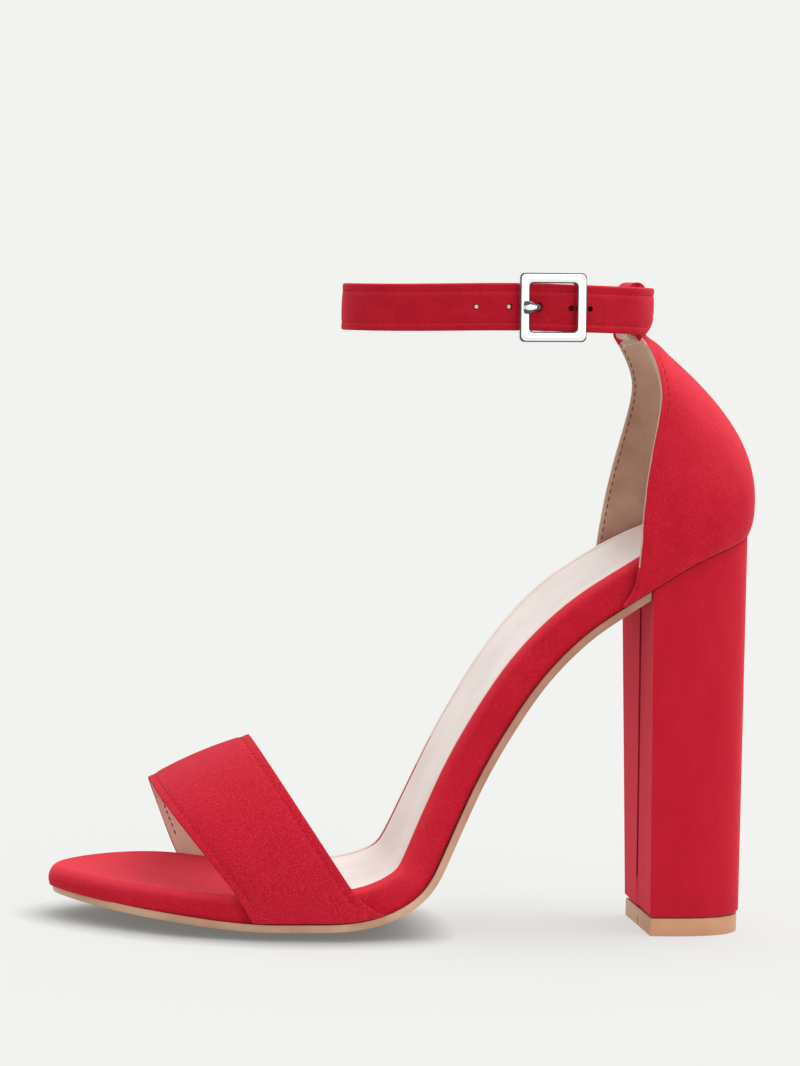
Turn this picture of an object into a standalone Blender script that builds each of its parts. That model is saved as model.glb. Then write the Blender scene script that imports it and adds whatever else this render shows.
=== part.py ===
"""Ankle strap heel: a left sandal with a block heel, toe strap, heel counter and buckled ankle strap.

Frame: +X to the toe, +Y to the outer (lateral) side, +Z up, in metres, with the origin in the middle of
the heel tip's underside. The sizes below are in millimetres.
"""

from collections import namedtuple

import bmesh
import bpy
import numpy as np

for old in list(bpy.data.objects):
    bpy.data.objects.remove(old, do_unlink=True)

MM = 0.001
GAP = 0.3

# Sole: footbed underside along the middle line, half-widths, lifts of the edges and rim height.
SoleSection = namedtuple("SoleSection", "x z lateral medial medial_lift edge_lift rim")
SOLE_SECTIONS = [
    SoleSection(-13.7, 118.5, 24.9, 24.9, 1.0, 1.0, 9.6),
    SoleSection(3.0, 110.9, 24.9, 24.9, 2.0, 1.0, 10.2),
    SoleSection(18.0, 101.4, 24.9, 24.9, 3.2, 1.0, 10.4),
    SoleSection(34.1, 90.6, 24.7, 23.4, 3.4, 0.8, 10.4),
    SoleSection(47.8, 76.8, 24.4, 21.4, 2.4, 0.6, 10.4),
    SoleSection(57.9, 61.8, 24.6, 20.6, 1.6, 0.5, 10.4),
    SoleSection(66.5, 46.0, 25.4, 20.8, 1.0, 0.6, 10.4),
    SoleSection(74.0, 28.6, 28.0, 23.0, 0.5, 1.0, 10.4),
    SoleSection(80.9, 13.4, 31.4, 27.0, 0.2, 1.6, 10.3),
    SoleSection(92.8, 5.3, 34.3, 31.0, 0.0, 2.2, 10.2),
    SoleSection(103.0, 2.8, 36.3, 34.5, 0.0, 2.5, 9.9),
    SoleSection(111.0, 2.3, 37.2, 36.6, 0.0, 2.6, 9.5),
    SoleSection(128.0, 2.3, 37.2, 38.6, 0.0, 2.4, 8.7),
    SoleSection(140.0, 2.9, 35.5, 38.5, 0.6, 2.2, 8.0),
    SoleSection(152.0, 4.3, 32.8, 37.6, 1.6, 2.0, 7.5),
    SoleSection(165.0, 6.2, 28.0, 35.6, 2.0, 1.5, 6.9),
    SoleSection(178.0, 8.2, 21.5, 33.0, 1.6, 0.9, 6.2),
    SoleSection(190.7, 9.9, 14.0, 29.0, 0.4, 0.4, 5.4),
]
FLAT_SHARE = 0.35
TOE_ROUND = 46.0
TOE_FULLNESS = 2.2
TOE_SHIFT = -5.0
OUTSOLE_THICK = 2.0
OUTSOLE_TOE_TUCK = 2.2
SOLE_STEP = 7.0
ACROSS = 6

# Heel seat: where the wings end, where the heel breast crosses the sole, fullness of the round back.
WING_X = 25.3
BREAST_X = 16.8
SEAT_FULLNESS = 2.6
SEAT_HALF = 24.9

# Insole sock.
SOCK_INSET = 4.1
SOCK_SUNK = 0.9
SOCK_FRONT_X = 128.0
SOCK_THICK = 1.0

# Heel block and tip: D sections with a flat breast.
TIP_HEIGHT = 5.3
TIP_INSET = 0.5
HEEL_FRONT = 13.0
HEEL_BACK = -17.3
HEEL_HALF = 20.2
HEEL_EDGE_ROUND = 0.9
HEEL_TOP_OUTSET = 0.6

# Counter: outer wall at each level, from the wings' front edges to the middle of the back.
COUNTER_WALL = 1.5
CounterLevel = namedtuple("CounterLevel", "front_x medial_x front_z back_x back_z half fullness sweep")
COUNTER_LEVELS = [
    CounterLevel(23.2, 25.6, 101.3, -16.8, 122.9, 27.4, 2.6, 90),
    CounterLevel(21.9, 25.0, 107.0, -17.4, 128.2, 28.2, 2.5, 90),
    CounterLevel(21.5, 24.2, 117.5, -17.1, 135.8, 28.5, 2.4, 90),
    CounterLevel(20.9, 22.6, 130.0, -14.5, 144.7, 27.2, 2.3, 90),
    CounterLevel(19.1, 20.2, 142.0, -9.2, 153.5, 25.4, 2.2, 90),
    CounterLevel(17.1, 17.8, 152.0, -1.5, 162.2, 23.7, 2.1, 85),
    CounterLevel(15.5, 16.4, 160.0, 6.0, 168.9, 22.0, 2.0, 80),
    CounterLevel(16.1, 16.9, 166.0, 11.0, 172.8, 19.9, 2.0, 72),
    CounterLevel(17.6, 19.6, 172.0, 13.9, 175.7, 17.4, 2.0, 64),
]
# The medial wing starts higher, over the lifted edge of the sole, and meets the levels at this height.
MEDIAL_RISE = 3.4
MEDIAL_RISE_TOP = 117.5
# Loop at the counter's top: height, distance outward from the ankle strap's middle, half-length.
# The shift along the strap puts it a little to the medial side.
LoopFold = namedtuple("LoopFold", "z out half")
LOOP_OUT = 2.8
LOOP_HALF = 12.4
LOOP_SHIFT = -1.3
LOOP_FOLDS = [
    LoopFold(176.9, 4.6, 13.8),
    LoopFold(177.8, 3.3, 13.6),
    LoopFold(178.9, LOOP_OUT, 13.4),
    LoopFold(185.0, LOOP_OUT, LOOP_HALF),
    LoopFold(191.0, LOOP_OUT, 8.6),
    LoopFold(193.0, 2.2, 7.2),
    LoopFold(193.9, 0.0, 6.8),
    LoopFold(193.0, -2.2, 7.2),
    LoopFold(191.0, -2.8, 8.0),
    LoopFold(184.5, -2.8, 7.8),
    LoopFold(178.4, -2.8, 7.6),
    LoopFold(177.0, -2.4, 7.4),
    LoopFold(176.4, -1.2, 7.2),
    LoopFold(176.3, 0.8, 7.2),
]

# Ankle strap: an oval loop in plan, a little pointed at the front.
STRAP_THICK = 2.0
STRAP_HALF_HEIGHT = 6.9
STRAP_BACK_X = 20.7
STRAP_FRONT_X = 107.8
STRAP_HALF_WIDTH = 27.5
STRAP_POINT = 0.07
STRAP_BACK_Z = 185.1
STRAP_FRONT_DROP = 1.7
STRAP_LAYER = STRAP_THICK + GAP
TAIL_OVER_LOOP = LOOP_OUT + GAP + STRAP_THICK / 2
TAIL_END = 4.0
TAIL_CUT_HEIGHT = 4.6
TAIL_CUT_LENGTH = 7.5
TAIL_RAMP = 26.0
TAIL_RAMP_LEAD = 1.46
LOOP_RAMP = 9.0
LOOP_RAMP_LEAD = 1.33
FOLD_LENGTH = 14.0
HOLE_RADIUS = 0.85
PRONG_HOLE_RADIUS = 1.35

# Toe strap: feet of the front and rear edges, their tops, lean of the edges per height.
TOE_STRAP_WALL = 1.7
ToeEdge = namedtuple("ToeEdge", "lateral_x medial_x top_x top_y top_z flare")
TOE_FRONT = ToeEdge(133.0, 147.0, 161.3, -7.0, 41.0, 0.0)
TOE_REAR = ToeEdge(96.2, 110.0, 131.7, -5.0, 55.0, 3.2)
TOE_STRAP_LEAN = 0.72
TOE_STRAP_FOOT = (0.1, 4.0, 8.2)
TOE_STRAP_FULLNESS = 2.25
TOE_STRAP_BULGE_X = 0.5
TOE_STRAP_BULGE_Z = 1.0

# Buckle: square frame outside the strap, staple-shaped middle bar inside it, prong.
BUCKLE_X = 51.7
BUCKLE_WIDTH = 20.4
BUCKLE_HEIGHT = 20.0
BUCKLE_BAR = 3.0
BUCKLE_THICK = 2.0
BUCKLE_OUTER_CORNER = 1.5
BUCKLE_INNER_CORNER = 1.4
BUCKLE_EDGE = 0.4
BUCKLE_TILT = np.radians(1.6)
BAR_RADIUS = 1.0
BAR_OUT = -STRAP_LAYER
FOLD_RADIUS = BAR_RADIUS + GAP + STRAP_THICK / 2
FRAME_OUT = STRAP_LAYER + STRAP_THICK / 2 + GAP + BUCKLE_THICK / 2
PRONG_RADIUS = 1.0
PRONG_REACH = 9.2
PRONG_AHEAD = 3.6
# Punched holes: distances ahead of the buckle's bar along the strap, with the prong's hole among them.
FREE_HOLES_AHEAD = (21.0, 11.8)
COVERED_HOLES_AHEAD = (PRONG_AHEAD, -5.8, -11.7)
# Slot for the prong in the strap's fold, in the buckle's own directions.
SLOT_AHEAD = (-4.0, 4.6)
SLOT_OUT = (-6.4, 1.15)
SLOT_HALF = 1.4

parts = bpy.data.collections.new("ankle strap heel")
bpy.context.scene.collection.children.link(parts)
cutters = bpy.data.collections.new("cutters")
helpers = bpy.data.collections.new("helpers")
for hidden in (cutters, helpers):
    hidden.hide_render = True
    bpy.context.scene.collection.children.link(hidden)


def material(name, red, green, blue, roughness, metallic=0.0):
    made = bpy.data.materials.new(name)
    made.use_nodes = True
    shader = made.node_tree.nodes["Principled BSDF"]
    shader.inputs["Base Color"].default_value = (red, green, blue, 1.0)
    shader.inputs["Roughness"].default_value = roughness
    shader.inputs["Metallic"].default_value = metallic
    return made


RED_SUEDE = material("red suede", 0.55, 0.012, 0.03, 0.95)
TAN_SOLE = material("tan sole", 0.56, 0.33, 0.21, 0.6)
PALE_SOCK = material("pale sock", 0.78, 0.68, 0.64, 0.7)
BUCKLE_METAL = material("buckle metal", 0.85, 0.85, 0.86, 0.15, 1.0)


def smooth(at, knots, values):
    """Monotone cubic curve through the values at the knots."""
    at = np.asarray(at, float)
    knots = np.asarray(knots, float)
    values = np.asarray(values, float)
    rate = np.diff(values) / np.diff(knots)
    product = rate[:-1] * rate[1:]
    middle = np.divide(2 * product, rate[:-1] + rate[1:], out=np.zeros_like(product), where=product > 0)
    slope = np.concatenate([rate[:1], middle, rate[-1:]])
    i = np.clip(np.searchsorted(knots, at) - 1, 0, len(knots) - 2)
    step = knots[i + 1] - knots[i]
    t = (at - knots[i]) / step
    start = values[i] * (1 + 2 * t) * (1 - t) ** 2 + slope[i] * step * t * (1 - t) ** 2
    end = values[i + 1] * t**2 * (3 - 2 * t) + slope[i + 1] * step * t**2 * (t - 1)
    return start + end


def ease(t):
    """Smooth step from 0 to 1."""
    t = np.clip(t, 0.0, 1.0)
    return t * t * (3 - 2 * t)


def superellipse(angle, fullness):
    """Cosine and sine of a superellipse, with their signs kept."""
    c = np.cos(angle)
    s = np.sin(angle)
    power = 2 / fullness
    return np.sign(c) * np.abs(c) ** power, np.sign(s) * np.abs(s) ** power


def skin(bm, grid):
    """Quads over a grid of points in millimetres."""
    rows = [[bm.verts.new(point * MM) for point in row] for row in np.asarray(grid, float)]
    for lower, upper in zip(rows, rows[1:]):
        for i in range(len(lower) - 1):
            bm.faces.new((lower[i], lower[i + 1], upper[i + 1], upper[i]))


def make_object(name, grids, finish, collection=parts):
    """One object from grids that share their borders."""
    bm = bmesh.new()
    for grid in grids:
        skin(bm, grid)
    bmesh.ops.remove_doubles(bm, verts=bm.verts, dist=0.002 * MM)
    bmesh.ops.recalc_face_normals(bm, faces=bm.faces)
    mesh = bpy.data.meshes.new(name)
    bm.to_mesh(mesh)
    bm.free()
    mesh.shade_smooth()
    mesh.set_sharp_from_angle(angle=np.radians(40))
    made = bpy.data.objects.new(name, mesh)
    collection.objects.link(made)
    if finish:
        mesh.materials.append(finish)
    return made


def ring_grid(rings):
    """Grid around closed rings: each ring's first point is repeated at its end."""
    return [np.concatenate([ring, ring[:1]]) for ring in rings]


def cap_grid(first, second, place, across=ACROSS):
    """Rows from the points of one side to those of the other, put in place by a function of their plan."""
    share = np.linspace(0, 1, across + 1)[None, :, None]
    plan = first[:, None, :] * (1 - share) + second[:, None, :] * share
    return place(plan[..., 0], plan[..., 1])


# The sole's own space: s along the middle line from the heel's back, y across, n off the underside.
def column(name):
    return np.array([getattr(row, name) for row in SOLE_SECTIONS])


KNOTS = np.concatenate([[0.0], np.cumsum(np.hypot(np.diff(column("x")), np.diff(column("z"))))])


def along(s, name):
    return smooth(s, KNOTS, column(name))


def s_at(x):
    samples = np.linspace(0, KNOTS[-1], 800)
    return np.interp(x, along(samples, "x"), samples)


S_TOE = KNOTS[-1]
S_WING = s_at(WING_X)


def sole_point(s, y, n):
    s, y, n = np.broadcast_arrays(np.asarray(s, float), np.asarray(y, float), np.asarray(n, float))
    step = 0.5
    run_x = along(s + step, "x") - along(s - step, "x")
    run_z = along(s + step, "z") - along(s - step, "z")
    run = np.hypot(run_x, run_z)
    width = np.where(y > 0, along(s, "lateral"), along(s, "medial"))
    edge = np.clip((np.abs(y) / width - FLAT_SHARE) / (1 - FLAT_SHARE), 0, 1.1) ** 2
    inner = np.clip(-y / width, 0, 1.1) ** 1.5
    n = n + along(s, "edge_lift") * edge + along(s, "medial_lift") * inner
    return np.stack([along(s, "x") - run_z / run * n, y, along(s, "z") + run_x / run * n], -1)


def seat_curve(angle, back_outset, side_outset):
    """Round back of the sole from one wing to the other, as (s, y)."""
    c, s = superellipse(angle, SEAT_FULLNESS)
    return np.stack([S_WING - (S_WING + back_outset) * c, (SEAT_HALF + side_outset) * s], -1)


def s_on_plane(x, y, n):
    """Place along the sole where a line at y and n crosses the upright plane at x."""
    s = s_at(x)
    for _ in range(6):
        ahead = sole_point(s + 0.5, y, n)[..., 0] - sole_point(s - 0.5, y, n)[..., 0]
        s = s + (x - sole_point(s, y, n)[..., 0]) / ahead
    return s


def stations(first, last, round_start, round_end):
    """Places along the sole: close together at round ends, and elsewhere the same for every piece."""
    turn = np.radians(np.linspace(0, 90, 10))
    start = first + (S_WING - first) * (1 - np.cos(turn)) if round_start else np.array([first])
    end = last - TOE_ROUND * (1 - np.cos(turn[::-1])) if round_end else np.array([last])
    shared = np.arange(S_WING + SOLE_STEP, S_TOE - TOE_ROUND, SOLE_STEP)
    shared = shared[(shared > start[-1] + SOLE_STEP / 3) & (shared < end[0] - SOLE_STEP / 3)]
    return np.concatenate([start, shared, end])


def sole_edges(s, outset, round_start=True, round_end=True):
    """Lateral and medial edges of the sole at places along it, as (s, y), moved outward by the outset."""
    heel = np.clip((S_WING - s) / S_WING, 0, 1)
    toe = np.clip((s - S_TOE + TOE_ROUND) / TOE_ROUND, 0, 1)
    width = (1 - heel**SEAT_FULLNESS) ** (1 / SEAT_FULLNESS) * (1 - toe**TOE_FULLNESS) ** (1 / TOE_FULLNESS)
    middle = TOE_SHIFT * ease((s - S_TOE + 80) / 80)
    edges = []
    for side, half in ((1.0, along(s, "lateral")), (-1.0, along(s, "medial"))):
        edge = np.stack([s, middle + side * (half - side * middle) * width], -1)
        run = np.gradient(edge, axis=0)
        out = side * np.stack([-run[:, 1], run[:, 0]], -1)
        out /= np.linalg.norm(out, axis=1)[:, None]
        out[0] = (-1.0, 0.0) if round_start else (0.0, side)
        out[-1] = (1.0, 0.0) if round_end else (0.0, side)
        edges.append(edge + np.reshape(outset, (-1, 1)) * out)
    return edges


def sole_layers(layers, s, start_x=None, round_end=True):
    """Grids of a piece of the sole from its layers: an outset and a height, each a function of s."""
    rings = []
    caps = []
    for outset, height in layers:
        edges = sole_edges(s, outset(s), start_x is None, round_end)
        if start_x is not None:
            for edge in edges:
                edge[0, 0] = s_on_plane(start_x, edge[0, 1], height(edge[0, 0]))
        cap = cap_grid(*edges, lambda at, y, n=height: sole_point(at, y, n(at)))
        caps.append(cap)
        rings.append(np.concatenate([cap[:, 0], cap[-1, 1:-1], cap[::-1, -1], cap[0, -2:0:-1]]))
    return [caps[0], ring_grid(rings), caps[-1]]


def level(height):
    return lambda s: 0 * s + height


def off_rim(height):
    return lambda s: along(s, "rim") + height


def make_footbed():
    """Suede-wrapped board with a rounded rim, sunk where the sock lies."""
    s_front = s_at(SOCK_FRONT_X)

    def bed(s):
        return along(s, "rim") - SOCK_SUNK * (1 - ease((s - s_front - 2) / 10))

    layers = [
        (level(-0.6), level(0.0)),
        (level(0.0), level(0.8)),
        (level(0.0), off_rim(-2.8)),
        (level(-0.5), off_rim(-1.2)),
        (level(-1.5), off_rim(-0.1)),
        (level(-2.7), off_rim(0.3)),
        (level(-3.5), off_rim(0.1)),
        (level(-3.8), bed),
    ]
    make_object("footbed", sole_layers(layers, stations(0.0, S_TOE, True, True)), RED_SUEDE)


def make_outsole():
    """Thin sole from the heel breast to the toe, tucked in at the toe."""

    def tucked(outset):
        return lambda s: outset - OUTSOLE_TOE_TUCK * ease((s - S_TOE + TOE_ROUND) / TOE_ROUND)

    layers = [
        (tucked(0.1), level(-GAP - OUTSOLE_THICK)),
        (tucked(0.5), level(-GAP - OUTSOLE_THICK / 2)),
        (tucked(0.5), level(-GAP)),
    ]
    start_x = BREAST_X + 2 * GAP
    places = stations(s_at(start_x), S_TOE, False, True)
    make_object("outsole", sole_layers(layers, places, start_x), TAN_SOLE)


def make_sock():
    """Thin sock sunk in the footbed, from the heel to under the toe strap."""
    under = GAP - SOCK_SUNK
    layers = [
        (level(-SOCK_INSET), off_rim(under)),
        (level(-SOCK_INSET), off_rim(under + SOCK_THICK - 0.3)),
        (level(-SOCK_INSET - 0.5), off_rim(under + SOCK_THICK)),
    ]
    places = stations(0.0, s_at(SOCK_FRONT_X), True, False)
    make_object("insole_sock", sole_layers(layers, places, round_end=False), PALE_SOCK)


# Heel.
SEAT_OUTSET = COUNTER_WALL + GAP
HEEL_COLUMNS = 25
COUNTER_COLUMNS = 25


def d_section(angle, front, back, half):
    c, s = superellipse(angle, SEAT_FULLNESS)
    return np.stack([front - (front - back) * c, half * s], -1)


def d_ring(outline):
    """D outline closed along its flat breast, with points across the breast."""
    share = np.linspace(0, 1, ACROSS + 1)[1:-1, None]
    return np.concatenate([outline, outline[-1] * (1 - share) + outline[0] * share])


def d_rows(outline):
    """The D outline's two sides as paired points, from the middle of the back to the breast."""
    middle = len(outline) // 2
    return outline[middle:], outline[middle::-1]


def at_height(z):
    return lambda x, y: np.stack([x, y, 0 * x + z], -1)


def make_heel_block():
    """Block heel: D sections from the tip to the seat, with a flat breast."""
    turn = np.linspace(-np.pi / 2, np.pi / 2, HEEL_COLUMNS)
    reach = ((S_WING - s_at(BREAST_X)) / (S_WING + SEAT_OUTSET)) ** (SEAT_FULLNESS / 2)
    seat = seat_curve(turn * np.arccos(reach) / (np.pi / 2), SEAT_OUTSET, HEEL_TOP_OUTSET)
    for corner in (0, -1):
        seat[corner, 0] = s_on_plane(BREAST_X, seat[corner, 1], -GAP)
    seat_ring = d_ring(seat)
    top = sole_point(seat_ring[:, 0], seat_ring[:, 1], -GAP)
    base_plan = d_section(turn, HEEL_FRONT, HEEL_BACK, HEEL_HALF)
    base_z = TIP_HEIGHT + GAP
    small = d_section(
        turn, HEEL_FRONT - HEEL_EDGE_ROUND, HEEL_BACK + HEEL_EDGE_ROUND, HEEL_HALF - HEEL_EDGE_ROUND
    )
    base = at_height(base_z + HEEL_EDGE_ROUND)(*d_ring(base_plan).T)
    rings = [at_height(base_z)(*d_ring(small).T)]
    rings += [base * (1 - rise) + top * rise for rise in (0.0, 0.35, 0.7, 1.0)]
    grids = [
        cap_grid(*d_rows(small), at_height(base_z)),
        ring_grid(rings),
        cap_grid(*d_rows(seat), lambda s, y: sole_point(s, y, -GAP)),
    ]
    make_object("heel_block", grids, RED_SUEDE)


def make_heel_tip():
    """Hard tip under the heel block, flat below and a little smaller than the block."""
    turn = np.linspace(-np.pi / 2, np.pi / 2, HEEL_COLUMNS)
    tip = d_section(turn, HEEL_FRONT - TIP_INSET / 2, HEEL_BACK + TIP_INSET, HEEL_HALF - TIP_INSET)
    levels = (0.0, TIP_HEIGHT)
    rings = [at_height(z)(*d_ring(tip).T) for z in levels]
    caps = [cap_grid(*d_rows(tip), at_height(z)) for z in levels]
    make_object("heel_tip", [caps[0], ring_grid(rings), caps[1]], TAN_SOLE)


# Ankle strap's plan: places are distances from the middle of the back, positive on the lateral side.
def strap_samples():
    angle = np.linspace(-np.pi, np.pi, 721)
    middle = (STRAP_BACK_X + STRAP_FRONT_X) / 2
    x = middle - (STRAP_FRONT_X - STRAP_BACK_X) / 2 * np.cos(angle)
    y = STRAP_HALF_WIDTH * np.sin(angle) * (1 + STRAP_POINT * np.cos(angle))
    length = np.concatenate([[0.0], np.cumsum(np.hypot(np.diff(x), np.diff(y)))])
    return x, y, length - length[-1] / 2


STRAP_X, STRAP_Y, STRAP_RUN = strap_samples()
STRAP_ROUND = STRAP_RUN[-1] - STRAP_RUN[0]


def strap_plan(run, out):
    """Plan point at a distance along the oval and a distance outward from it."""
    wrapped = (np.asarray(run, float) - STRAP_RUN[0]) % STRAP_ROUND + STRAP_RUN[0]
    x = np.interp(wrapped, STRAP_RUN, STRAP_X)
    y = np.interp(wrapped, STRAP_RUN, STRAP_Y)
    tangent_x = np.interp(wrapped, STRAP_RUN, np.gradient(STRAP_X, STRAP_RUN))
    tangent_y = np.interp(wrapped, STRAP_RUN, np.gradient(STRAP_Y, STRAP_RUN))
    size = np.hypot(tangent_x, tangent_y)
    return np.stack([x - tangent_y / size * out, y + tangent_x / size * out], -1)


LATERAL_HALF = STRAP_RUN > 0
BUCKLE_RUN = float(np.interp(BUCKLE_X, STRAP_X[LATERAL_HALF], STRAP_RUN[LATERAL_HALF]))


def strap_middle_z(x):
    return STRAP_BACK_Z - STRAP_FRONT_DROP * ease((x - BUCKLE_X) / (STRAP_FRONT_X - BUCKLE_X))


def make_counter():
    """Back part with two wings, whose top tab folds over the ankle strap."""
    turn = np.linspace(-np.pi / 2, np.pi / 2, COUNTER_COLUMNS)
    seat = seat_curve(turn, SEAT_OUTSET, SEAT_OUTSET)
    rows = [sole_point(seat[:, 0], seat[:, 1], 0.0)]
    lowest = COUNTER_LEVELS[0].front_z
    for wall in COUNTER_LEVELS:
        c, s = superellipse(turn * wall.sweep / 90, wall.fullness)
        end_c, end_s = superellipse(np.radians(wall.sweep), wall.fullness)
        depth = (c - end_c) / (1 - end_c)
        front = np.where(turn > 0, wall.front_x, wall.medial_x)
        x = front + (wall.back_x - front) * depth
        rise = MEDIAL_RISE * ease((MEDIAL_RISE_TOP - wall.front_z) / (MEDIAL_RISE_TOP - lowest))
        front_z = np.where(turn > 0, wall.front_z, wall.front_z + rise)
        z = front_z + (wall.back_z - front_z) * depth
        rows.append(np.stack([x, wall.half * s / end_s, z], -1))
    for fold in LOOP_FOLDS:
        plan = strap_plan(turn / (np.pi / 2) * fold.half + LOOP_SHIFT, fold.out)
        rows.append(np.column_stack([plan, 0 * turn + fold.z]))
    counter = make_object("heel_counter", [np.array(rows)], RED_SUEDE)
    thicken(counter, COUNTER_WALL, (1.0, 0.0, 0.0))


def thicken(sheet, wall, inward):
    """Gives a sheet its wall, on the side that the direction points to at the sheet's middle face."""
    face = sheet.data.polygons[len(sheet.data.polygons) // 2]
    if face.normal.dot(inward) > 0:
        sheet.data.flip_normals()
    solidify = sheet.modifiers.new("wall", "SOLIDIFY")
    solidify.thickness = wall * MM
    solidify.offset = -1.0
    solidify.use_even_offset = True


def make_toe_strap():
    """Wide band over the toes, from the outsole's lateral edge to its medial edge."""
    lateral, medial = sole_edges(np.linspace(0.0, S_TOE, 200), GAP + TOE_STRAP_WALL)
    share = np.linspace(0, 1, 9)
    edge = {name: getattr(TOE_FRONT, name) + (getattr(TOE_REAR, name) - getattr(TOE_FRONT, name)) * share
            for name in ToeEdge._fields}
    edge["flare"] = TOE_REAR.flare * share**3

    def foot(side, base_x, n):
        x = base_x + TOE_STRAP_LEAN * n - edge["flare"] * (1 - n / TOE_STRAP_FOOT[-1]) ** 2
        s = s_at(x)
        return sole_point(s, np.interp(s, side[:, 0], side[:, 1]), n)

    rows = [foot(lateral, edge["lateral_x"], n) for n in TOE_STRAP_FOOT]
    start = rows[-1]
    end = foot(medial, edge["medial_x"], TOE_STRAP_FOOT[-1])
    middle = 4 * share * (1 - share)
    top_x = edge["top_x"] + TOE_STRAP_BULGE_X * middle
    top_z = edge["top_z"] + TOE_STRAP_BULGE_Z * middle
    top = np.stack([top_x, edge["top_y"], top_z], -1)
    for angle in np.linspace(0, np.pi, 19)[1:-1]:
        c, s = superellipse(angle, TOE_STRAP_FULLNESS)
        side = start if c > 0 else end
        row = side + (top - side) * s
        row[:, 1] = top[:, 1] + (side[:, 1] - top[:, 1]) * abs(c)
        rows.append(row)
    rows += [foot(medial, edge["medial_x"], n) for n in reversed(TOE_STRAP_FOOT)]
    band = make_object("toe_strap", [np.array(rows)], RED_SUEDE)
    thicken(band, TOE_STRAP_WALL, (0.0, 0.0, -1.0))


def band_section(half_thick, top, bottom, corner=0.45):
    """Outline of a flat band with cut corners, as (out, up)."""
    return np.array([
        (-half_thick, bottom + corner), (-half_thick, top - corner), (-half_thick + corner, top),
        (half_thick - corner, top), (half_thick, top - corner), (half_thick, bottom + corner),
        (half_thick - corner, bottom), (-half_thick + corner, bottom),
    ])


def strap_route():
    """The strap's middle line as (run, out): from its fold on the bar, round the ankle, to the tail."""
    fold = np.linspace(-np.pi / 2, np.pi / 2, 8)
    back = np.linspace(-FOLD_LENGTH, -2, 6)
    inside = np.stack([BUCKLE_RUN + back, -STRAP_LAYER - FOLD_RADIUS * ease((back + 11) / 8)], -1)
    turn = np.stack([BUCKLE_RUN + FOLD_RADIUS * np.cos(fold), BAR_OUT + FOLD_RADIUS * np.sin(fold)], -1)
    round_ankle = np.arange(BUCKLE_RUN - 2.5, TAIL_END - STRAP_ROUND, -3.0)
    to_buckle = BUCKLE_RUN - STRAP_ROUND - round_ankle
    to_loop = LOOP_HALF - STRAP_ROUND - round_ankle
    out = STRAP_LAYER * ease(TAIL_RAMP_LEAD + to_buckle / TAIL_RAMP)
    out += (TAIL_OVER_LOOP - STRAP_LAYER) * ease(LOOP_RAMP_LEAD + to_loop / LOOP_RAMP)
    end = np.array([[TAIL_END - STRAP_ROUND, TAIL_OVER_LOOP]])
    return np.concatenate([inside, turn, np.stack([round_ankle, out], -1), end])


def make_ankle_strap():
    """One strap through the counter's loop, folded on the buckle's bar, with its tail outside."""
    route = strap_route()
    plan = strap_plan(route[:, 0], route[:, 1])
    run = np.gradient(plan, axis=0)
    run /= np.linalg.norm(run, axis=1)[:, None]
    out = np.stack([run[:, 1], -run[:, 0]], -1)
    rings = []
    for i, (place, side) in enumerate(zip(route, out)):
        to_end = place[0] - route[-1, 0]
        cut = TAIL_CUT_HEIGHT * max(0.0, 1 - to_end / TAIL_CUT_LENGTH)
        section = band_section(STRAP_THICK / 2, STRAP_HALF_HEIGHT, -STRAP_HALF_HEIGHT + cut)
        ring = plan[i] + side * section[:, :1]
        rings.append(np.column_stack([ring, strap_middle_z(plan[i, 0]) + section[:, 1]]))
    ends = [np.stack([ring[:4], ring[:3:-1]]) for ring in (rings[0], rings[-1])]
    strap = make_object("ankle_strap", [ring_grid(rings)] + ends, RED_SUEDE)
    make_strap_cutters()
    cut = strap.modifiers.new("holes and slot", "BOOLEAN")
    cut.operand_type = "COLLECTION"
    cut.collection = cutters


def buckle_place(ahead, out, up):
    """World point from the tilted buckle's own directions: ahead to the toe, outward and up."""
    base = strap_plan(BUCKLE_RUN, 0.0)
    outward = strap_plan(BUCKLE_RUN, 1.0) - base
    forward = np.array([outward[1], -outward[0]])
    ahead, out, up = (np.asarray(each, float)[..., None] for each in np.broadcast_arrays(ahead, out, up))
    level_ahead = ahead * np.cos(BUCKLE_TILT) + up * np.sin(BUCKLE_TILT)
    level_up = up * np.cos(BUCKLE_TILT) - ahead * np.sin(BUCKLE_TILT)
    plan = base + forward * level_ahead + outward * out
    return np.concatenate([plan, strap_middle_z(BUCKLE_X) + level_up], -1)


def make_strap_cutters():
    """Punched holes along the tail, and the slot for the prong in the fold around the bar."""
    angle = np.linspace(0, 2 * np.pi, 9)[:-1]
    for number, place in enumerate(FREE_HOLES_AHEAD + COVERED_HOLES_AHEAD):
        run = BUCKLE_RUN + place
        radius = PRONG_HOLE_RADIUS if place == PRONG_AHEAD else HOLE_RADIUS
        inner = -2.0 if place in FREE_HOLES_AHEAD else STRAP_THICK / 2 + GAP / 2
        rings = []
        for out in (inner, 5.0):
            plan = strap_plan(run + radius * np.cos(angle), out)
            height = strap_middle_z(plan[:, 0]) + radius * np.sin(angle)
            rings.append(np.column_stack([plan, height]))
        caps = [np.stack([ring[:4], ring[:3:-1]]) for ring in rings]
        cutter = make_object(f"hole_{number + 1}", [ring_grid(rings)] + caps, None, cutters)
        hide(cutter)
    first, last = SLOT_AHEAD
    box = [(first, -SLOT_HALF), (last, -SLOT_HALF), (last, SLOT_HALF), (first, SLOT_HALF)]
    rings = [np.array([buckle_place(ahead, out, up) for ahead, up in box]) for out in SLOT_OUT]
    caps = [np.stack([ring[:2], ring[:1:-1]]) for ring in rings]
    hide(make_object("prong_slot", [ring_grid(rings)] + caps, None, cutters))


def hide(cutter):
    cutter.hide_render = True
    cutter.display_type = "WIRE"


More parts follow.
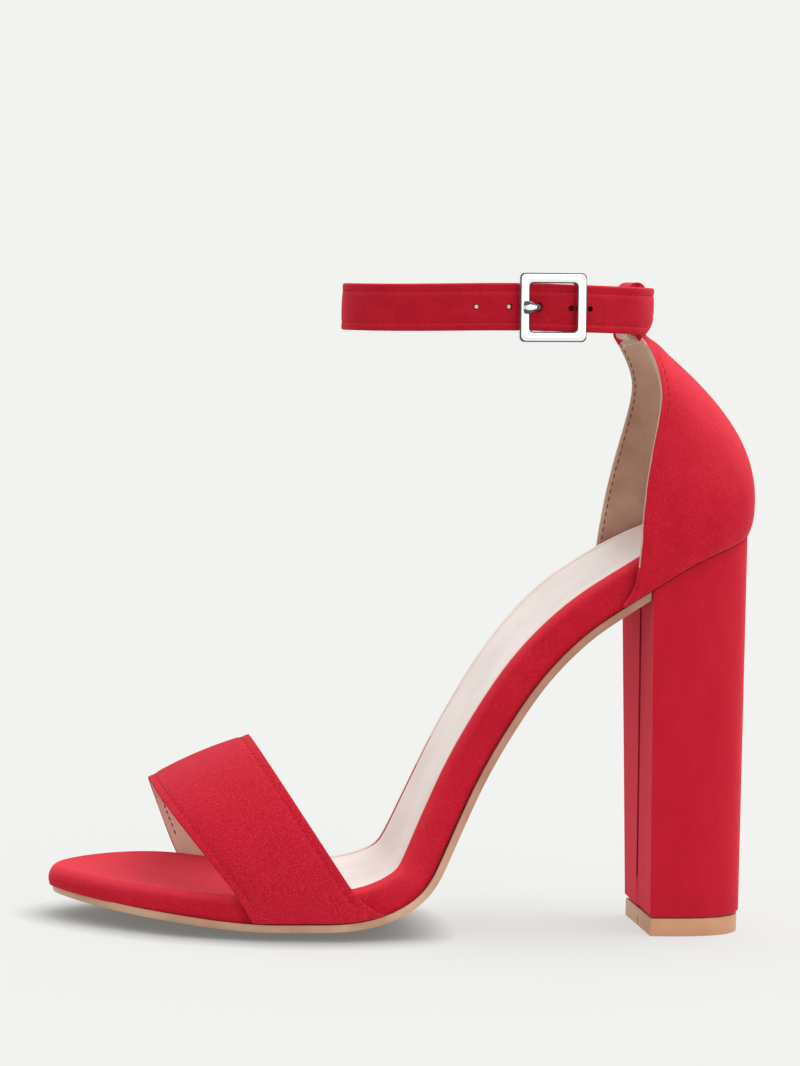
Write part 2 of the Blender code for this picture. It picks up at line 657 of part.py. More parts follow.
def tube(name, points, radius, finish, collection=parts):
    """Round bar along points in millimetres, as a mesh with welded caps."""
    curve = bpy.data.curves.new(name, "CURVE")
    curve.dimensions = "3D"
    curve.bevel_depth = radius * MM
    curve.bevel_resolution = 2
    curve.use_fill_caps = True
    spline = curve.splines.new("POLY")
    spline.points.add(len(points) - 1)
    for target, point in zip(spline.points, points):
        target.co = (*(np.asarray(point) * MM), 1.0)
    guide = bpy.data.objects.new(name, curve)
    bpy.context.scene.collection.objects.link(guide)
    graph = bpy.context.evaluated_depsgraph_get()
    mesh = bpy.data.meshes.new_from_object(guide.evaluated_get(graph))
    bpy.data.objects.remove(guide, do_unlink=True)
    bm = bmesh.new()
    bm.from_mesh(mesh)
    bmesh.ops.remove_doubles(bm, verts=bm.verts, dist=0.002 * MM)
    bmesh.ops.recalc_face_normals(bm, faces=bm.faces)
    bm.to_mesh(mesh)
    bm.free()
    made = bpy.data.objects.new(name, mesh)
    collection.objects.link(made)
    mesh.materials.clear()
    if finish:
        mesh.materials.append(finish)
    return made


def make_buckle():
    """Square frame with rounded corners, joined to a staple-shaped middle bar inside the strap."""
    half_ahead = (BUCKLE_WIDTH - BUCKLE_BAR) / 2
    half_up = (BUCKLE_HEIGHT - BUCKLE_BAR) / 2
    section = band_section(BUCKLE_BAR / 2, BUCKLE_THICK / 2, -BUCKLE_THICK / 2, BUCKLE_EDGE)
    inward = 0.5 - section[:, 0] / BUCKLE_BAR
    corner_round = BUCKLE_OUTER_CORNER + (BUCKLE_INNER_CORNER - BUCKLE_OUTER_CORNER) * inward
    rings = []
    for corner in range(4):
        sign_ahead = (1, -1, -1, 1)[corner]
        sign_up = (1, 1, -1, -1)[corner]
        for angle in np.radians(90 * corner + np.linspace(0, 90, 5)):
            ahead = sign_ahead * (half_ahead + section[:, 0] - corner_round) + np.cos(angle) * corner_round
            up = sign_up * (half_up + section[:, 0] - corner_round) + np.sin(angle) * corner_round
            rings.append(buckle_place(ahead, FRAME_OUT + section[:, 1], up))
    frame = make_object("buckle_frame", [ring_grid(rings + rings[:1])], BUCKLE_METAL)
    route = [(FRAME_OUT, half_up), (BAR_OUT, half_up), (BAR_OUT, -half_up), (FRAME_OUT, -half_up)]
    staple = tube("staple", [buckle_place(0.0, out, up) for out, up in route], BAR_RADIUS, None, helpers)
    join = frame.modifiers.new("middle bar", "BOOLEAN")
    join.operation = "UNION"
    join.object = staple
    hide(staple)


def make_prong():
    """Prong hooked around the middle bar, through the strap's hole, with its tip on the frame."""
    hook = BAR_RADIUS + GAP + PRONG_RADIUS
    turn = np.radians((-90, -45, 0, 40))
    route = [(hook * np.cos(angle), BAR_OUT + hook * np.sin(angle)) for angle in turn]
    resting = FRAME_OUT + BUCKLE_THICK / 2 + GAP + PRONG_RADIUS
    route += [(PRONG_AHEAD + 0.1, 0.2), (PRONG_AHEAD + 0.2, STRAP_LAYER + 0.2)]
    route += [(PRONG_AHEAD + 1.0, resting - 0.9), (PRONG_AHEAD + 2.6, resting), (PRONG_REACH, resting)]
    tube("buckle_prong", [buckle_place(ahead, out, 0.0) for ahead, out in route], PRONG_RADIUS, BUCKLE_METAL)


make_footbed()
make_outsole()
make_sock()
make_heel_block()
make_heel_tip()
make_counter()
make_toe_strap()
make_ankle_strap()
make_buckle()
make_prong()
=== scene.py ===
"""Looks of the ankle strap heel: a left sandal in red suede with a block heel and a buckled ankle strap."""
import math

import bmesh
import bpy
import numpy as np
from mathutils import Matrix, Vector
from mathutils.bvhtree import BVHTree
from mathutils.kdtree import KDTree


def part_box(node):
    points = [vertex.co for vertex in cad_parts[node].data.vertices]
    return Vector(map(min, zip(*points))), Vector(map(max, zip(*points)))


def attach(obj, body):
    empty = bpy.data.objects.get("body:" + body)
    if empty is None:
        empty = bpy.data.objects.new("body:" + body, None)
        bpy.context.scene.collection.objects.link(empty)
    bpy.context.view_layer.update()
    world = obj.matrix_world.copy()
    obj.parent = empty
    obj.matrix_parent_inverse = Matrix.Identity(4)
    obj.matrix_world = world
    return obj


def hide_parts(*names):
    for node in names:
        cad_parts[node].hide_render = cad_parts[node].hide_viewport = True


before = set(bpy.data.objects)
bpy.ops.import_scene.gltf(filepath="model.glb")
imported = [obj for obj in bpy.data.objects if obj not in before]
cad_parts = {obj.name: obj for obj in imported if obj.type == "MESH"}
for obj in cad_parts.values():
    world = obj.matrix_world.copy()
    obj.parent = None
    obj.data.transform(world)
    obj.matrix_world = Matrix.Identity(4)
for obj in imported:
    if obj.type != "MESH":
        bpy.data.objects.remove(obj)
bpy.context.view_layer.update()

# Studio: a pale floor that is as bright as the air behind it, so that no horizon shows, and wide lights.
# The camera is on the shoe's outer side, level with the ankle strap and rolled a little, as in the photo.
PALE_AIR = "#F2F3F0"
FLOOR_REACH = 6.0
FLOOR_MIDDLE_X = 0.1
FLOOR_GLOW = 0.65
PAINTED_SHADOW_X = (0.04, 0.085)
PAINTED_SHADOW_REACH = 0.015
PAINTED_SHADOW_SHARE = 0.75
CAMERA_PLACE = Vector((0.2309, 1.0908, 0.1800))
CAMERA_TARGET = Vector((0.0892, 0.0, 0.1167))
CAMERA_ROLL = math.radians(2.0)
CAMERA_LENS = 125.0


def colour(code):
    """Linear colour from an sRGB hex value."""
    shares = [int(code[i:i + 2], 16) / 255 for i in (1, 3, 5)]
    return (*[c / 12.92 if c <= 0.04045 else ((c + 0.055) / 1.055) ** 2.4 for c in shares], 1.0)


def add(tree, kind, values=(), links=(), **settings):
    """Adds a shader node with its settings, socket values and incoming links."""
    made = tree.nodes.new(kind)
    for name, value in settings.items():
        setattr(made, name, value)
    for socket, value in dict(values).items():
        made.inputs[socket].default_value = value
    for socket, source in dict(links).items():
        tree.links.new(source, made.inputs[socket])
    return made


def new_material(name):
    """Empty node material."""
    made = bpy.data.materials.new(name)
    made.use_nodes = True
    made.node_tree.nodes.clear()
    return made, made.node_tree


# Opal acrylic sheet, lit from below: almost white, no gloss. The light through it makes shadows pale. Close
# to the forefoot, where the shoe stands on the sheet, its glow is dimmed: a painted contact shadow.
acrylic, tree = new_material("lit_opal_acrylic")
place = add(tree, "ShaderNodeTexCoord")
along = add(tree, "ShaderNodeSeparateXYZ", links={0: place.outputs["Object"]})
# Painted contact shadow: the glow is darkened within a short reach of the shoe, over the forefoot only.
forefoot = add(tree, "ShaderNodeMapRange", {1: PAINTED_SHADOW_X[0], 2: PAINTED_SHADOW_X[1], 4: PAINTED_SHADOW_SHARE},
               {0: along.outputs[0]})
contact_shade = add(tree, "ShaderNodeAmbientOcclusion", {"Distance": PAINTED_SHADOW_REACH})
painted_contact_shadow = add(tree, "ShaderNodeMath", {1: 2.0}, {0: contact_shade.outputs["AO"]}, operation="POWER")
share = add(tree, "ShaderNodeMix", {2: 1.0}, {0: forefoot.outputs[0], 3: painted_contact_shadow.outputs[0]})
glow = add(tree, "ShaderNodeMath", {1: FLOOR_GLOW}, {0: share.outputs[0]}, operation="MULTIPLY")
shader = add(tree, "ShaderNodeBsdfPrincipled", {
    "Base Color": colour("#7D7D7D"), "Roughness": 1.0, "Specular IOR Level": 0.0,
    "Emission Color": colour(PALE_AIR),
}, {"Emission Strength": glow.outputs[0]})
add(tree, "ShaderNodeOutputMaterial", links={"Surface": shader.outputs[0]})

bpy.ops.object.select_all(action="DESELECT")
bpy.ops.mesh.primitive_plane_add(size=2 * FLOOR_REACH, location=(FLOOR_MIDDLE_X, 0.0, 0.0))
floor = bpy.context.active_object
floor.name = "studio_floor"
bpy.ops.object.transform_apply(location=True, rotation=True, scale=True)
floor.data.materials.append(acrylic)

world = bpy.data.worlds.new("studio_air")
bpy.context.scene.world = world
world.use_nodes = True
world.node_tree.nodes["Background"].inputs["Color"].default_value = colour(PALE_AIR)
world.node_tree.nodes["Background"].inputs["Strength"].default_value = 1.0
bpy.context.scene.view_settings.view_transform = "Standard"


def soft_light(name, toward, degrees, strength):
    """Wide light from a direction, the same over the whole floor."""
    lamp = bpy.data.lights.new(name, "SUN")
    lamp.angle = math.radians(degrees)
    lamp.energy = strength
    holder = bpy.data.objects.new(name, lamp)
    holder.rotation_euler = Vector(toward).to_track_quat("Z", "Y").to_euler()
    bpy.context.scene.collection.objects.link(holder)


soft_light("heel_light", (-0.45, -0.2, 1.3), 60, 2.0)
soft_light("front_light", (-0.5, 0.83, 0.2), 50, 0.62)

look = (CAMERA_TARGET - CAMERA_PLACE).normalized()
level_right = look.cross(Vector((0, 0, 1))).normalized()
level_up = level_right.cross(look)
right = level_right * math.cos(CAMERA_ROLL) + level_up * math.sin(CAMERA_ROLL)
up = level_up * math.cos(CAMERA_ROLL) - level_right * math.sin(CAMERA_ROLL)
camera = bpy.data.objects.new("photo_camera", bpy.data.cameras.new("photo_camera"))
camera.data.lens = CAMERA_LENS
camera.matrix_world = Matrix.Translation(CAMERA_PLACE) @ Matrix((right, up, -look)).transposed().to_4x4()
bpy.context.scene.collection.objects.link(camera)
bpy.context.scene.camera = camera

# Footbed: the board and its padding, wrapped in red suede that is pulled over the edge and glued below.
# Its rim shows beside the sock, and its front is the shoe's open toe. Its fold fills the joint below it.
MM = 0.001
MERGE_REACH = 0.01 * MM
QUAD_BEND = 35
QUAD_SKEW = 70
FOOTBED_LEVELS = 2
NAP_DEPTH = 0.45 * MM
WRAP_FOLD = 0.6 * MM
UNDERSIDE = 0.3


def copy_of(name, piece_name):
    """Copy of a CAD node, with its triangles merged and turned back to quads."""
    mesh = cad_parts[name].data.copy()
    mesh.name = piece_name
    mesh.materials.clear()
    piece = bpy.data.objects.new(piece_name, mesh)
    bpy.context.scene.collection.objects.link(piece)
    choose(piece)
    bpy.ops.mesh.customdata_custom_splitnormals_clear()
    bpy.ops.object.mode_set(mode="EDIT")
    bpy.ops.mesh.select_all(action="SELECT")
    bpy.ops.mesh.mark_sharp(clear=True)
    bpy.ops.mesh.remove_doubles(threshold=MERGE_REACH)
    bpy.ops.mesh.tris_convert_to_quads(face_threshold=math.radians(QUAD_BEND),
                                       shape_threshold=math.radians(QUAD_SKEW))
    bpy.ops.object.mode_set(mode="OBJECT")
    return piece


def choose(piece):
    """Makes a piece the only selected and active object."""
    bpy.ops.object.select_all(action="DESELECT")
    piece.select_set(True)
    bpy.context.view_layer.objects.active = piece


def finish_with(piece, kind, **settings):
    """Adds a modifier and applies it."""
    choose(piece)
    made = piece.modifiers.new(kind.lower(), kind)
    for name, value in settings.items():
        setattr(made, name, value)
    bpy.ops.object.modifier_apply(modifier=made.name)


def subdivide(piece, levels):
    """Smooth surface of a piece, with smooth shading."""
    finish_with(piece, "SUBSURF", levels=levels, render_levels=levels)
    piece.data.shade_smooth()


def crease_sharp(piece, degrees, crease=1.0):
    """Keeps the edges that are sharper than an angle when the piece is subdivided."""
    bm = bmesh.new()
    bm.from_mesh(piece.data)
    layer = bm.edges.layers.float.get("crease_edge") or bm.edges.layers.float.new("crease_edge")
    for edge in bm.edges:
        if edge.is_manifold and edge.calc_face_angle() > math.radians(degrees):
            edge[layer] = crease
    bm.to_mesh(piece.data)
    bm.free()


def red_suede(name, along=(1.0, 1.0, 1.0), warm="#B8182B", deep="#A91226", pale="#C62439", nap=0.6,
              painted_top_light=0.36, fine=1500.0):
    """Split leather with a short raised nap: matt, with lighter and darker strokes and a sheen at its edges.

    Strokes of about 7 mm, and a pebble of 0.4 to 0.7 mm that is drawn coarser than the real fibres of 0.1 mm
    so that it shows. The nap, from 0 to 1, is how rough that pebble is. The painted top light is a painted
    highlight: how much paler the colour is painted where the suede faces up, for the light from above.
    """
    made, tree = new_material(name)
    place = add(tree, "ShaderNodeTexCoord")
    turned = add(tree, "ShaderNodeMapping", {"Scale": along}, {"Vector": place.outputs["Object"]})
    strokes = add(tree, "ShaderNodeTexNoise", {"Scale": 140.0, "Detail": 4.0, "Roughness": 0.6},
                  {"Vector": turned.outputs[0]})
    pebble = add(tree, "ShaderNodeTexNoise", {"Scale": fine, "Detail": 2.0, "Roughness": 0.6},
                 {"Vector": turned.outputs[0]})
    both = add(tree, "ShaderNodeMix", {0: nap}, {2: strokes.outputs[0], 3: pebble.outputs[0]})
    ramp = add(tree, "ShaderNodeValToRGB", links={0: both.outputs[0]})
    ramp.color_ramp.elements[0].position = 0.28
    ramp.color_ramp.elements[0].color = colour(deep)
    ramp.color_ramp.elements[1].position = 0.72
    ramp.color_ramp.elements[1].color = colour(pale)
    middle = ramp.color_ramp.elements.new(0.5)
    middle.color = colour(warm)
    # Painted highlight: where the suede faces up, its colour is mixed toward a pale pink, for the light from
    # above.
    facing = add(tree, "ShaderNodeSeparateXYZ", links={0: place.outputs["Normal"]})
    top_light_share = add(tree, "ShaderNodeMapRange", {1: 0.1, 2: 0.6, 3: 0.0, 4: painted_top_light}, {0: facing.outputs[2]})
    painted_top_colour = add(tree, "ShaderNodeMix", {7: colour("#F04A5A")},
                  {0: top_light_share.outputs[0], 6: ramp.outputs[0]}, data_type="RGBA")
    bump = add(tree, "ShaderNodeBump", {"Strength": nap, "Distance": NAP_DEPTH},
               {"Height": pebble.outputs[0]})
    shader = add(tree, "ShaderNodeBsdfPrincipled", {
        "Roughness": 0.95, "Specular IOR Level": 0.08, "Sheen Weight": 0.65, "Sheen Roughness": 0.45,
        "Sheen Tint": colour("#FF6474"),
    }, {"Base Color": painted_top_colour.outputs[2], "Normal": bump.outputs[0]})
    add(tree, "ShaderNodeOutputMaterial", links={"Surface": shader.outputs[0]})
    return made


suede = red_suede("red_suede")
footbed = copy_of("footbed", "footbed_suede")
subdivide(footbed, FOOTBED_LEVELS)
for vertex in footbed.data.vertices:
    vertex.co.z -= WRAP_FOLD * min(1.0, max(0.0, (-vertex.normal.z - UNDERSIDE) / UNDERSIDE))
footbed.data.materials.append(suede)
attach(footbed, "root")
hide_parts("footbed")

# Outsole: a thin tan sole, cut to the footbed's outline and cemented under it, with a stained edge.
# Its top is raised by the cement's thickness, so that it meets the footbed.
OUTSOLE_LEVELS = 2
OUTSOLE_CORNER = 50
OUTSOLE_SHARP = 45
CEMENT = 0.25 * MM
TOP_SIDE = 0.3
SHANK_Z = (12.0 * MM, 35.0 * MM)
SHANK_TINT = "#E2CACE"

# Leather board with a stained edge: satin, darker in streaks of about 12 mm, and browner up the arch.
board, tree = new_material("stained_sole_leather")
place = add(tree, "ShaderNodeTexCoord")
streak = add(tree, "ShaderNodeTexNoise", {"Scale": 80.0, "Detail": 3.0},
             {"Vector": place.outputs["Object"]})
grain = add(tree, "ShaderNodeTexNoise", {"Scale": 1100.0, "Detail": 2.0},
            {"Vector": place.outputs["Object"]})
ramp = add(tree, "ShaderNodeValToRGB", links={0: streak.outputs[0]})
ramp.color_ramp.elements[0].position = 0.3
ramp.color_ramp.elements[0].color = colour("#B58A6E")
ramp.color_ramp.elements[1].position = 0.7
ramp.color_ramp.elements[1].color = colour("#CFA78B")
height = add(tree, "ShaderNodeSeparateXYZ", links={0: place.outputs["Object"]})
shank = add(tree, "ShaderNodeMapRange", {1: SHANK_Z[0], 2: SHANK_Z[1]}, {0: height.outputs[2]})
up_arch_tint = add(tree, "ShaderNodeMix", {7: colour(SHANK_TINT)}, {0: shank.outputs[0], 6: ramp.outputs[0]},
            data_type="RGBA", blend_type="MULTIPLY")
bump = add(tree, "ShaderNodeBump", {"Strength": 0.2, "Distance": 0.1 * MM}, {"Height": grain.outputs[0]})
shader = add(tree, "ShaderNodeBsdfPrincipled", {"Roughness": 0.5},
             {"Base Color": up_arch_tint.outputs[2], "Normal": bump.outputs[0]})
add(tree, "ShaderNodeOutputMaterial", links={"Surface": shader.outputs[0]})

outsole = copy_of("outsole", "outsole_leather")
crease_sharp(outsole, OUTSOLE_CORNER)
subdivide(outsole, OUTSOLE_LEVELS)
for vertex in outsole.data.vertices:
    if vertex.normal.z > TOP_SIDE:
        vertex.co += vertex.normal * CEMENT
outsole.data.set_sharp_from_angle(angle=math.radians(OUTSOLE_SHARP))
outsole.data.materials.append(board)
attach(outsole, "root")
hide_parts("outsole")

# Heel block: a moulded block covered in the same suede, whose edges meet in a seam down the flat breast.
# One edge laps over the other, so the breast has a small step at the seam.
HEEL_LEVELS = 2
HEEL_CORNER = 30
ROUNDED_CORNER = 50
HEEL_EDGE = 0.8 * MM
SEAM_HALF = 0.15 * MM
SEAM_STEP = 0.45 * MM
HEEL_HALF = 22.0 * MM
# The least that a normal points ahead on the breast's flat, on all of it, and on it with its rim.
BREAST_FLAT = 0.9
BREAST_SIDE = 0.7
BREAST_RIM = 0.6
# The most that a normal points ahead, and up or down, on the seam's step.
SEAM_AHEAD = 0.95
SEAM_UPRIGHT = 0.5

heel = copy_of("heel_block", "heel_block_suede")
crease_sharp(heel, HEEL_CORNER)
subdivide(heel, HEEL_LEVELS)
choose(heel)
bpy.ops.object.mode_set(mode="EDIT")
for place_y in (-SEAM_HALF, SEAM_HALF):
    bpy.ops.mesh.select_all(action="DESELECT")
    bm = bmesh.from_edit_mesh(heel.data)
    for face in bm.faces:
        face.select_set(face.normal.x > BREAST_FLAT)
    bmesh.update_edit_mesh(heel.data)
    bpy.ops.mesh.bisect(plane_co=(0, place_y, 0), plane_no=(0, 1, 0))
bpy.ops.object.mode_set(mode="OBJECT")
for vertex in heel.data.vertices:
    if vertex.normal.x > BREAST_RIM and vertex.co.y < 0:
        vertex.co.x += SEAM_STEP * max(0.0, 1 + vertex.co.y / HEEL_HALF)
finish_with(heel, "BEVEL", width=HEEL_EDGE, segments=3, limit_method="ANGLE",
            angle_limit=math.radians(ROUNDED_CORNER))
heel.data.shade_smooth()
# The breast takes a paler copy of the suede as painted light, since it faces away from the lamps and stands
# in
# shade. The seam's step is drawn darker.
for name, along, warm, deep, pale, nap in (
    ("red_suede_heel", (1.0, 1.0, 0.5), "#B91A2C", "#B4172A", "#BE1D30", 0.3),
    ("red_suede_breast_painted_light", (1.0, 1.6, 0.15), "#D03446", "#C22A3C", "#DC4658", 0.5),
    ("red_suede_seam", (1.0, 1.0, 0.5), "#8A1626", "#7A1020", "#98202F", 0.3),
):
    heel.data.materials.append(red_suede(name, along, warm, deep, pale, nap))
for face in heel.data.polygons:
    at_seam = abs(face.center.y) < 2 * SEAM_HALF and face.center.x > 0
    on_step = face.normal.x < SEAM_AHEAD and abs(face.normal.z) < SEAM_UPRIGHT
    face.material_index = 2 if at_seam and on_step else 1 if face.normal.x > BREAST_SIDE else 0
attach(heel, "root")
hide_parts("heel_block")

# Heel tip: a moulded tan top piece nailed under the heel.
# It has small rounded edges and a gate mark in the middle of its front.
TIP_EDGE = 0.35 * MM
TIP_SHARP = 30
GATE_MARK = (1.0 * MM, 1.2 * MM, 3.0 * MM)
GATE_SUNK = 0.2 * MM

# Thermoplastic rubber, moulded: satin, even, a little cloudy.
rubber, tree = new_material("moulded_tip_rubber")
place = add(tree, "ShaderNodeTexCoord")
cloud = add(tree, "ShaderNodeTexNoise", {"Scale": 120.0, "Detail": 2.0},
            {"Vector": place.outputs["Object"]})
ramp = add(tree, "ShaderNodeValToRGB", links={0: cloud.outputs[0]})
ramp.color_ramp.elements[0].color = colour("#B9835F")
ramp.color_ramp.elements[1].color = colour("#CB9671")
shader = add(tree, "ShaderNodeBsdfPrincipled", {"Roughness": 0.45, "IOR": 1.5},
             {"Base Color": ramp.outputs[0]})
add(tree, "ShaderNodeOutputMaterial", links={"Surface": shader.outputs[0]})

tip = copy_of("heel_tip", "heel_tip_rubber")
finish_with(tip, "BEVEL", width=TIP_EDGE, segments=2, limit_method="ANGLE",
            angle_limit=math.radians(ROUNDED_CORNER))
tip_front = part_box("heel_tip")[1][0]
bpy.ops.mesh.primitive_cube_add(size=1.0, location=(tip_front, 0.0, GATE_MARK[2] / 2 - GATE_SUNK))
gate = bpy.context.active_object
gate.scale = GATE_MARK
bpy.ops.object.transform_apply(location=True, rotation=True, scale=True)
finish_with(tip, "BOOLEAN", operation="DIFFERENCE", object=gate)
bpy.data.objects.remove(gate, do_unlink=True)
tip.data.shade_smooth()
tip.data.set_sharp_from_angle(angle=math.radians(TIP_SHARP))
tip.data.materials.clear()
tip.data.materials.append(rubber)
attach(tip, "root")
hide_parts("heel_tip")

# Sock: pale lining leather glued on the footbed from the heel to under the toe strap; its cut edge is cream.
# On the inner side of the foot it laps over the top of the footbed's rim.
SOCK_LEVELS = 2
SOCK_CORNER = 50
SOFT_CREASE = 0.8
SOCK_EDGE = 1.6 * MM
SOCK_SIDE = 0.8
SOCK_FAR_LAP = 2.4 * MM

# Coated lining leather: pale pink, satin, with pores of about 0.8 mm; its cut edge is cream.
sock_leather, tree = new_material("pale_lining_leather")
place = add(tree, "ShaderNodeTexCoord")
pores = add(tree, "ShaderNodeTexNoise", {"Scale": 1200.0, "Detail": 2.0},
            {"Vector": place.outputs["Object"]})
cloud = add(tree, "ShaderNodeTexNoise", {"Scale": 60.0, "Detail": 3.0},
            {"Vector": place.outputs["Object"]})
ramp = add(tree, "ShaderNodeValToRGB", links={0: cloud.outputs[0]})
ramp.color_ramp.elements[0].position = 0.3
ramp.color_ramp.elements[0].color = colour("#E2D3D0")
ramp.color_ramp.elements[1].position = 0.7
ramp.color_ramp.elements[1].color = colour("#ECE0DD")
border = add(tree, "ShaderNodeAttribute", attribute_name="border")
mixed = add(tree, "ShaderNodeMix", {7: colour("#E3CDB4")},
            {0: border.outputs["Fac"], 6: ramp.outputs[0]}, data_type="RGBA")
bump = add(tree, "ShaderNodeBump", {"Strength": 0.12, "Distance": 0.1 * MM}, {"Height": pores.outputs[0]})
shader = add(tree, "ShaderNodeBsdfPrincipled", {"Roughness": 0.42},
             {"Base Color": mixed.outputs[2], "Normal": bump.outputs[0]})
add(tree, "ShaderNodeOutputMaterial", links={"Surface": shader.outputs[0]})


def finder(points):
    """Search tree that finds the nearest of some points."""
    made = KDTree(len(points))
    for i, point in enumerate(points):
        made.insert(point, i)
    made.balance()
    return made


def near(points, lines, reach):
    """How near each point is to the nearest point of some lines: 1 on a line, 0 at the reach and beyond."""
    found = finder(lines)
    return np.array([max(0.0, 1.0 - found.find(point)[2] / reach) for point in points])


sock = copy_of("insole_sock", "insole_sock_leather")
crease_sharp(sock, SOCK_CORNER, SOFT_CREASE)
subdivide(sock, SOCK_LEVELS)
sock.data.materials.append(sock_leather)
bm = bmesh.new()
bm.from_mesh(sock.data)
sides = [v.co.copy() for v in bm.verts if any(abs(f.normal.y) > SOCK_SIDE for f in v.link_faces)]
shares = near([v.co for v in bm.verts], sides, SOCK_EDGE)
bm.free()
sock.data.attributes.new("border", "FLOAT", "POINT").data.foreach_set("value", shares)
footbed.data.materials.append(sock_leather)
far_edge = finder([point for point in sides if point.y < 0])
for face in footbed.data.polygons:
    on_far_rim = face.normal.z > TOP_SIDE and face.center.y < 0
    if on_far_rim and far_edge.find(face.center)[2] < SOCK_FAR_LAP:
        face.material_index = 1
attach(sock, "root")
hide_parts("insole_sock")

# Toe strap: a wide band of suede on a pale lining, stitched along both edges, with its ends tucked in
# between the footbed and the outsole. The suede is turned over its edge, but for a raw line low at the rear.
TOE_LEVELS = 3
TOE_RAW_TOP = 22.0 * MM
TOE_RAW_FRONT = 112.0 * MM
TOE_RAW_SHARES = (0.0, 0.35)
TOE_LINING_INSET = 1.8 * MM
EDGE_INSET = 2.3 * MM
STITCH_PITCH = 2.4 * MM
STITCH_SIZE = Vector((1.7, 0.5, 0.36)) * MM
GROOVE_REACH = 1.2 * MM
GROOVE_DEPTH = 0.28 * MM
GROOVE_SIDE = 0.5
TOE_STITCH_LOW = 9.6 * MM

# Raw edge of leather: cream, matt, with fibres of about 0.7 mm.
cut_edge, tree = new_material("raw_leather_edge")
place = add(tree, "ShaderNodeTexCoord")
fibres = add(tree, "ShaderNodeTexNoise", {"Scale": 1500.0, "Detail": 3.0},
             {"Vector": place.outputs["Object"]})
ramp = add(tree, "ShaderNodeValToRGB", links={0: fibres.outputs[0]})
ramp.color_ramp.elements[0].color = colour("#DABBA4")
ramp.color_ramp.elements[1].color = colour("#F4E4D6")
shader = add(tree, "ShaderNodeBsdfPrincipled", {"Roughness": 0.9}, {"Base Color": ramp.outputs[0]})
add(tree, "ShaderNodeOutputMaterial", links={"Surface": shader.outputs[0]})


def lining_leather(name, dark, light, roughness):
    """Split lining leather, smooth side out: satin, with a pebble of about 1 mm and cloudy patches."""
    made, tree = new_material(name)
    place = add(tree, "ShaderNodeTexCoord")
    cloud = add(tree, "ShaderNodeTexNoise", {"Scale": 90.0, "Detail": 3.0},
                {"Vector": place.outputs["Object"]})
    pebble = add(tree, "ShaderNodeTexVoronoi", {"Scale": 900.0}, {"Vector": place.outputs["Object"]})
    ramp = add(tree, "ShaderNodeValToRGB", links={0: cloud.outputs[0]})
    ramp.color_ramp.elements[0].position = 0.3
    ramp.color_ramp.elements[0].color = colour(dark)
    ramp.color_ramp.elements[1].position = 0.7
    ramp.color_ramp.elements[1].color = colour(light)
    bump = add(tree, "ShaderNodeBump", {"Strength": 0.2, "Distance": 0.12 * MM},
               {"Height": pebble.outputs[0]})
    shader = add(tree, "ShaderNodeBsdfPrincipled", {"Roughness": roughness},
                 {"Base Color": ramp.outputs[0], "Normal": bump.outputs[0]})
    add(tree, "ShaderNodeOutputMaterial", links={"Surface": shader.outputs[0]})
    return made


def close_fibres(name, dark, light):
    """Close fibres, as in twisted sewing thread or a hole's wall in painted shade: dull, with streaks of
    about 0.4 mm.
    """
    made, tree = new_material(name)
    place = add(tree, "ShaderNodeTexCoord")
    twist = add(tree, "ShaderNodeTexNoise", {"Scale": 2500.0}, {"Vector": place.outputs["Object"]})
    ramp = add(tree, "ShaderNodeValToRGB", links={0: twist.outputs[0]})
    ramp.color_ramp.elements[0].color = colour(dark)
    ramp.color_ramp.elements[1].color = colour(light)
    shader = add(tree, "ShaderNodeBsdfPrincipled", {"Roughness": 0.8, "Specular IOR Level": 0.15},
                 {"Base Color": ramp.outputs[0]})
    add(tree, "ShaderNodeOutputMaterial", links={"Surface": shader.outputs[0]})
    return made


OUTER, INNER, EDGE = 0, 1, 2
WALL_CORNER = 55


def label_walls(piece, rank):
    """Numbers the faces of a walled sheet by its three sides.

    The outer one holds the face of the highest rank.
    """
    bm = bmesh.new()
    bm.from_mesh(piece.data)
    left = set(bm.faces)
    groups = []
    while left:
        group = [left.pop()]
        for face in group:
            for edge in face.edges:
                if edge.calc_face_angle(0.0) < math.radians(WALL_CORNER):
                    found = [other for other in edge.link_faces if other in left]
                    left.difference_update(found)
                    group.extend(found)
        groups.append(group)
    groups.sort(key=lambda group: -sum(face.calc_area() for face in group))
    sheets = sorted(groups[:2], key=lambda group: -max(rank(face.calc_center_median()) for face in group))
    for face in bm.faces:
        face.material_index = EDGE
    for index, group in enumerate(sheets):
        for face in group:
            face.material_index = index
    bm.to_mesh(piece.data)
    bm.free()


def inset_line(piece, side, inset, keep):
    """Points and normals on one side of a walled sheet, an inset from its cut edge, in unbroken runs."""
    bm = bmesh.new()
    bm.from_mesh(piece.data)
    sheet = [face for face in bm.faces if face.material_index == side]
    corners = [[v.index for v in face.verts] for face in sheet]
    surface = BVHTree.FromPolygons([v.co for v in bm.verts], corners)
    steps = {}
    for edge in bm.edges:
        if sorted({face.material_index for face in edge.link_faces}) == sorted((side, EDGE)):
            for vertex in edge.verts:
                steps.setdefault(vertex, []).append(edge.other_vert(vertex))
    runs = []
    seen = set()
    starts = [vertex for vertex in steps if len(steps[vertex]) == 1] + list(steps)
    for start in starts:
        chain = []
        vertex = start
        while vertex is not None and vertex not in seen:
            seen.add(vertex)
            chain.append(vertex)
            vertex = next((other for other in steps[vertex] if other not in seen), None)
        run = []
        for i, vertex in enumerate(chain):
            faces = [face for face in vertex.link_faces if face.material_index == side]
            way = sum((face.calc_center_median() for face in faces), Vector()) / len(faces) - vertex.co
            ahead = chain[min(i + 1, len(chain) - 1)].co - chain[max(i - 1, 0)].co
            way -= ahead * (way.dot(ahead) / max(ahead.length_squared, 1e-12))
            point, normal, _, _ = surface.find_nearest(vertex.co + way.normalized() * inset)
            if keep(point):
                run.append((point, normal))
            elif len(run) > 2:
                runs.append(run)
                run = []
        if len(run) > 2:
            runs.append(run)
    bm.free()
    return runs


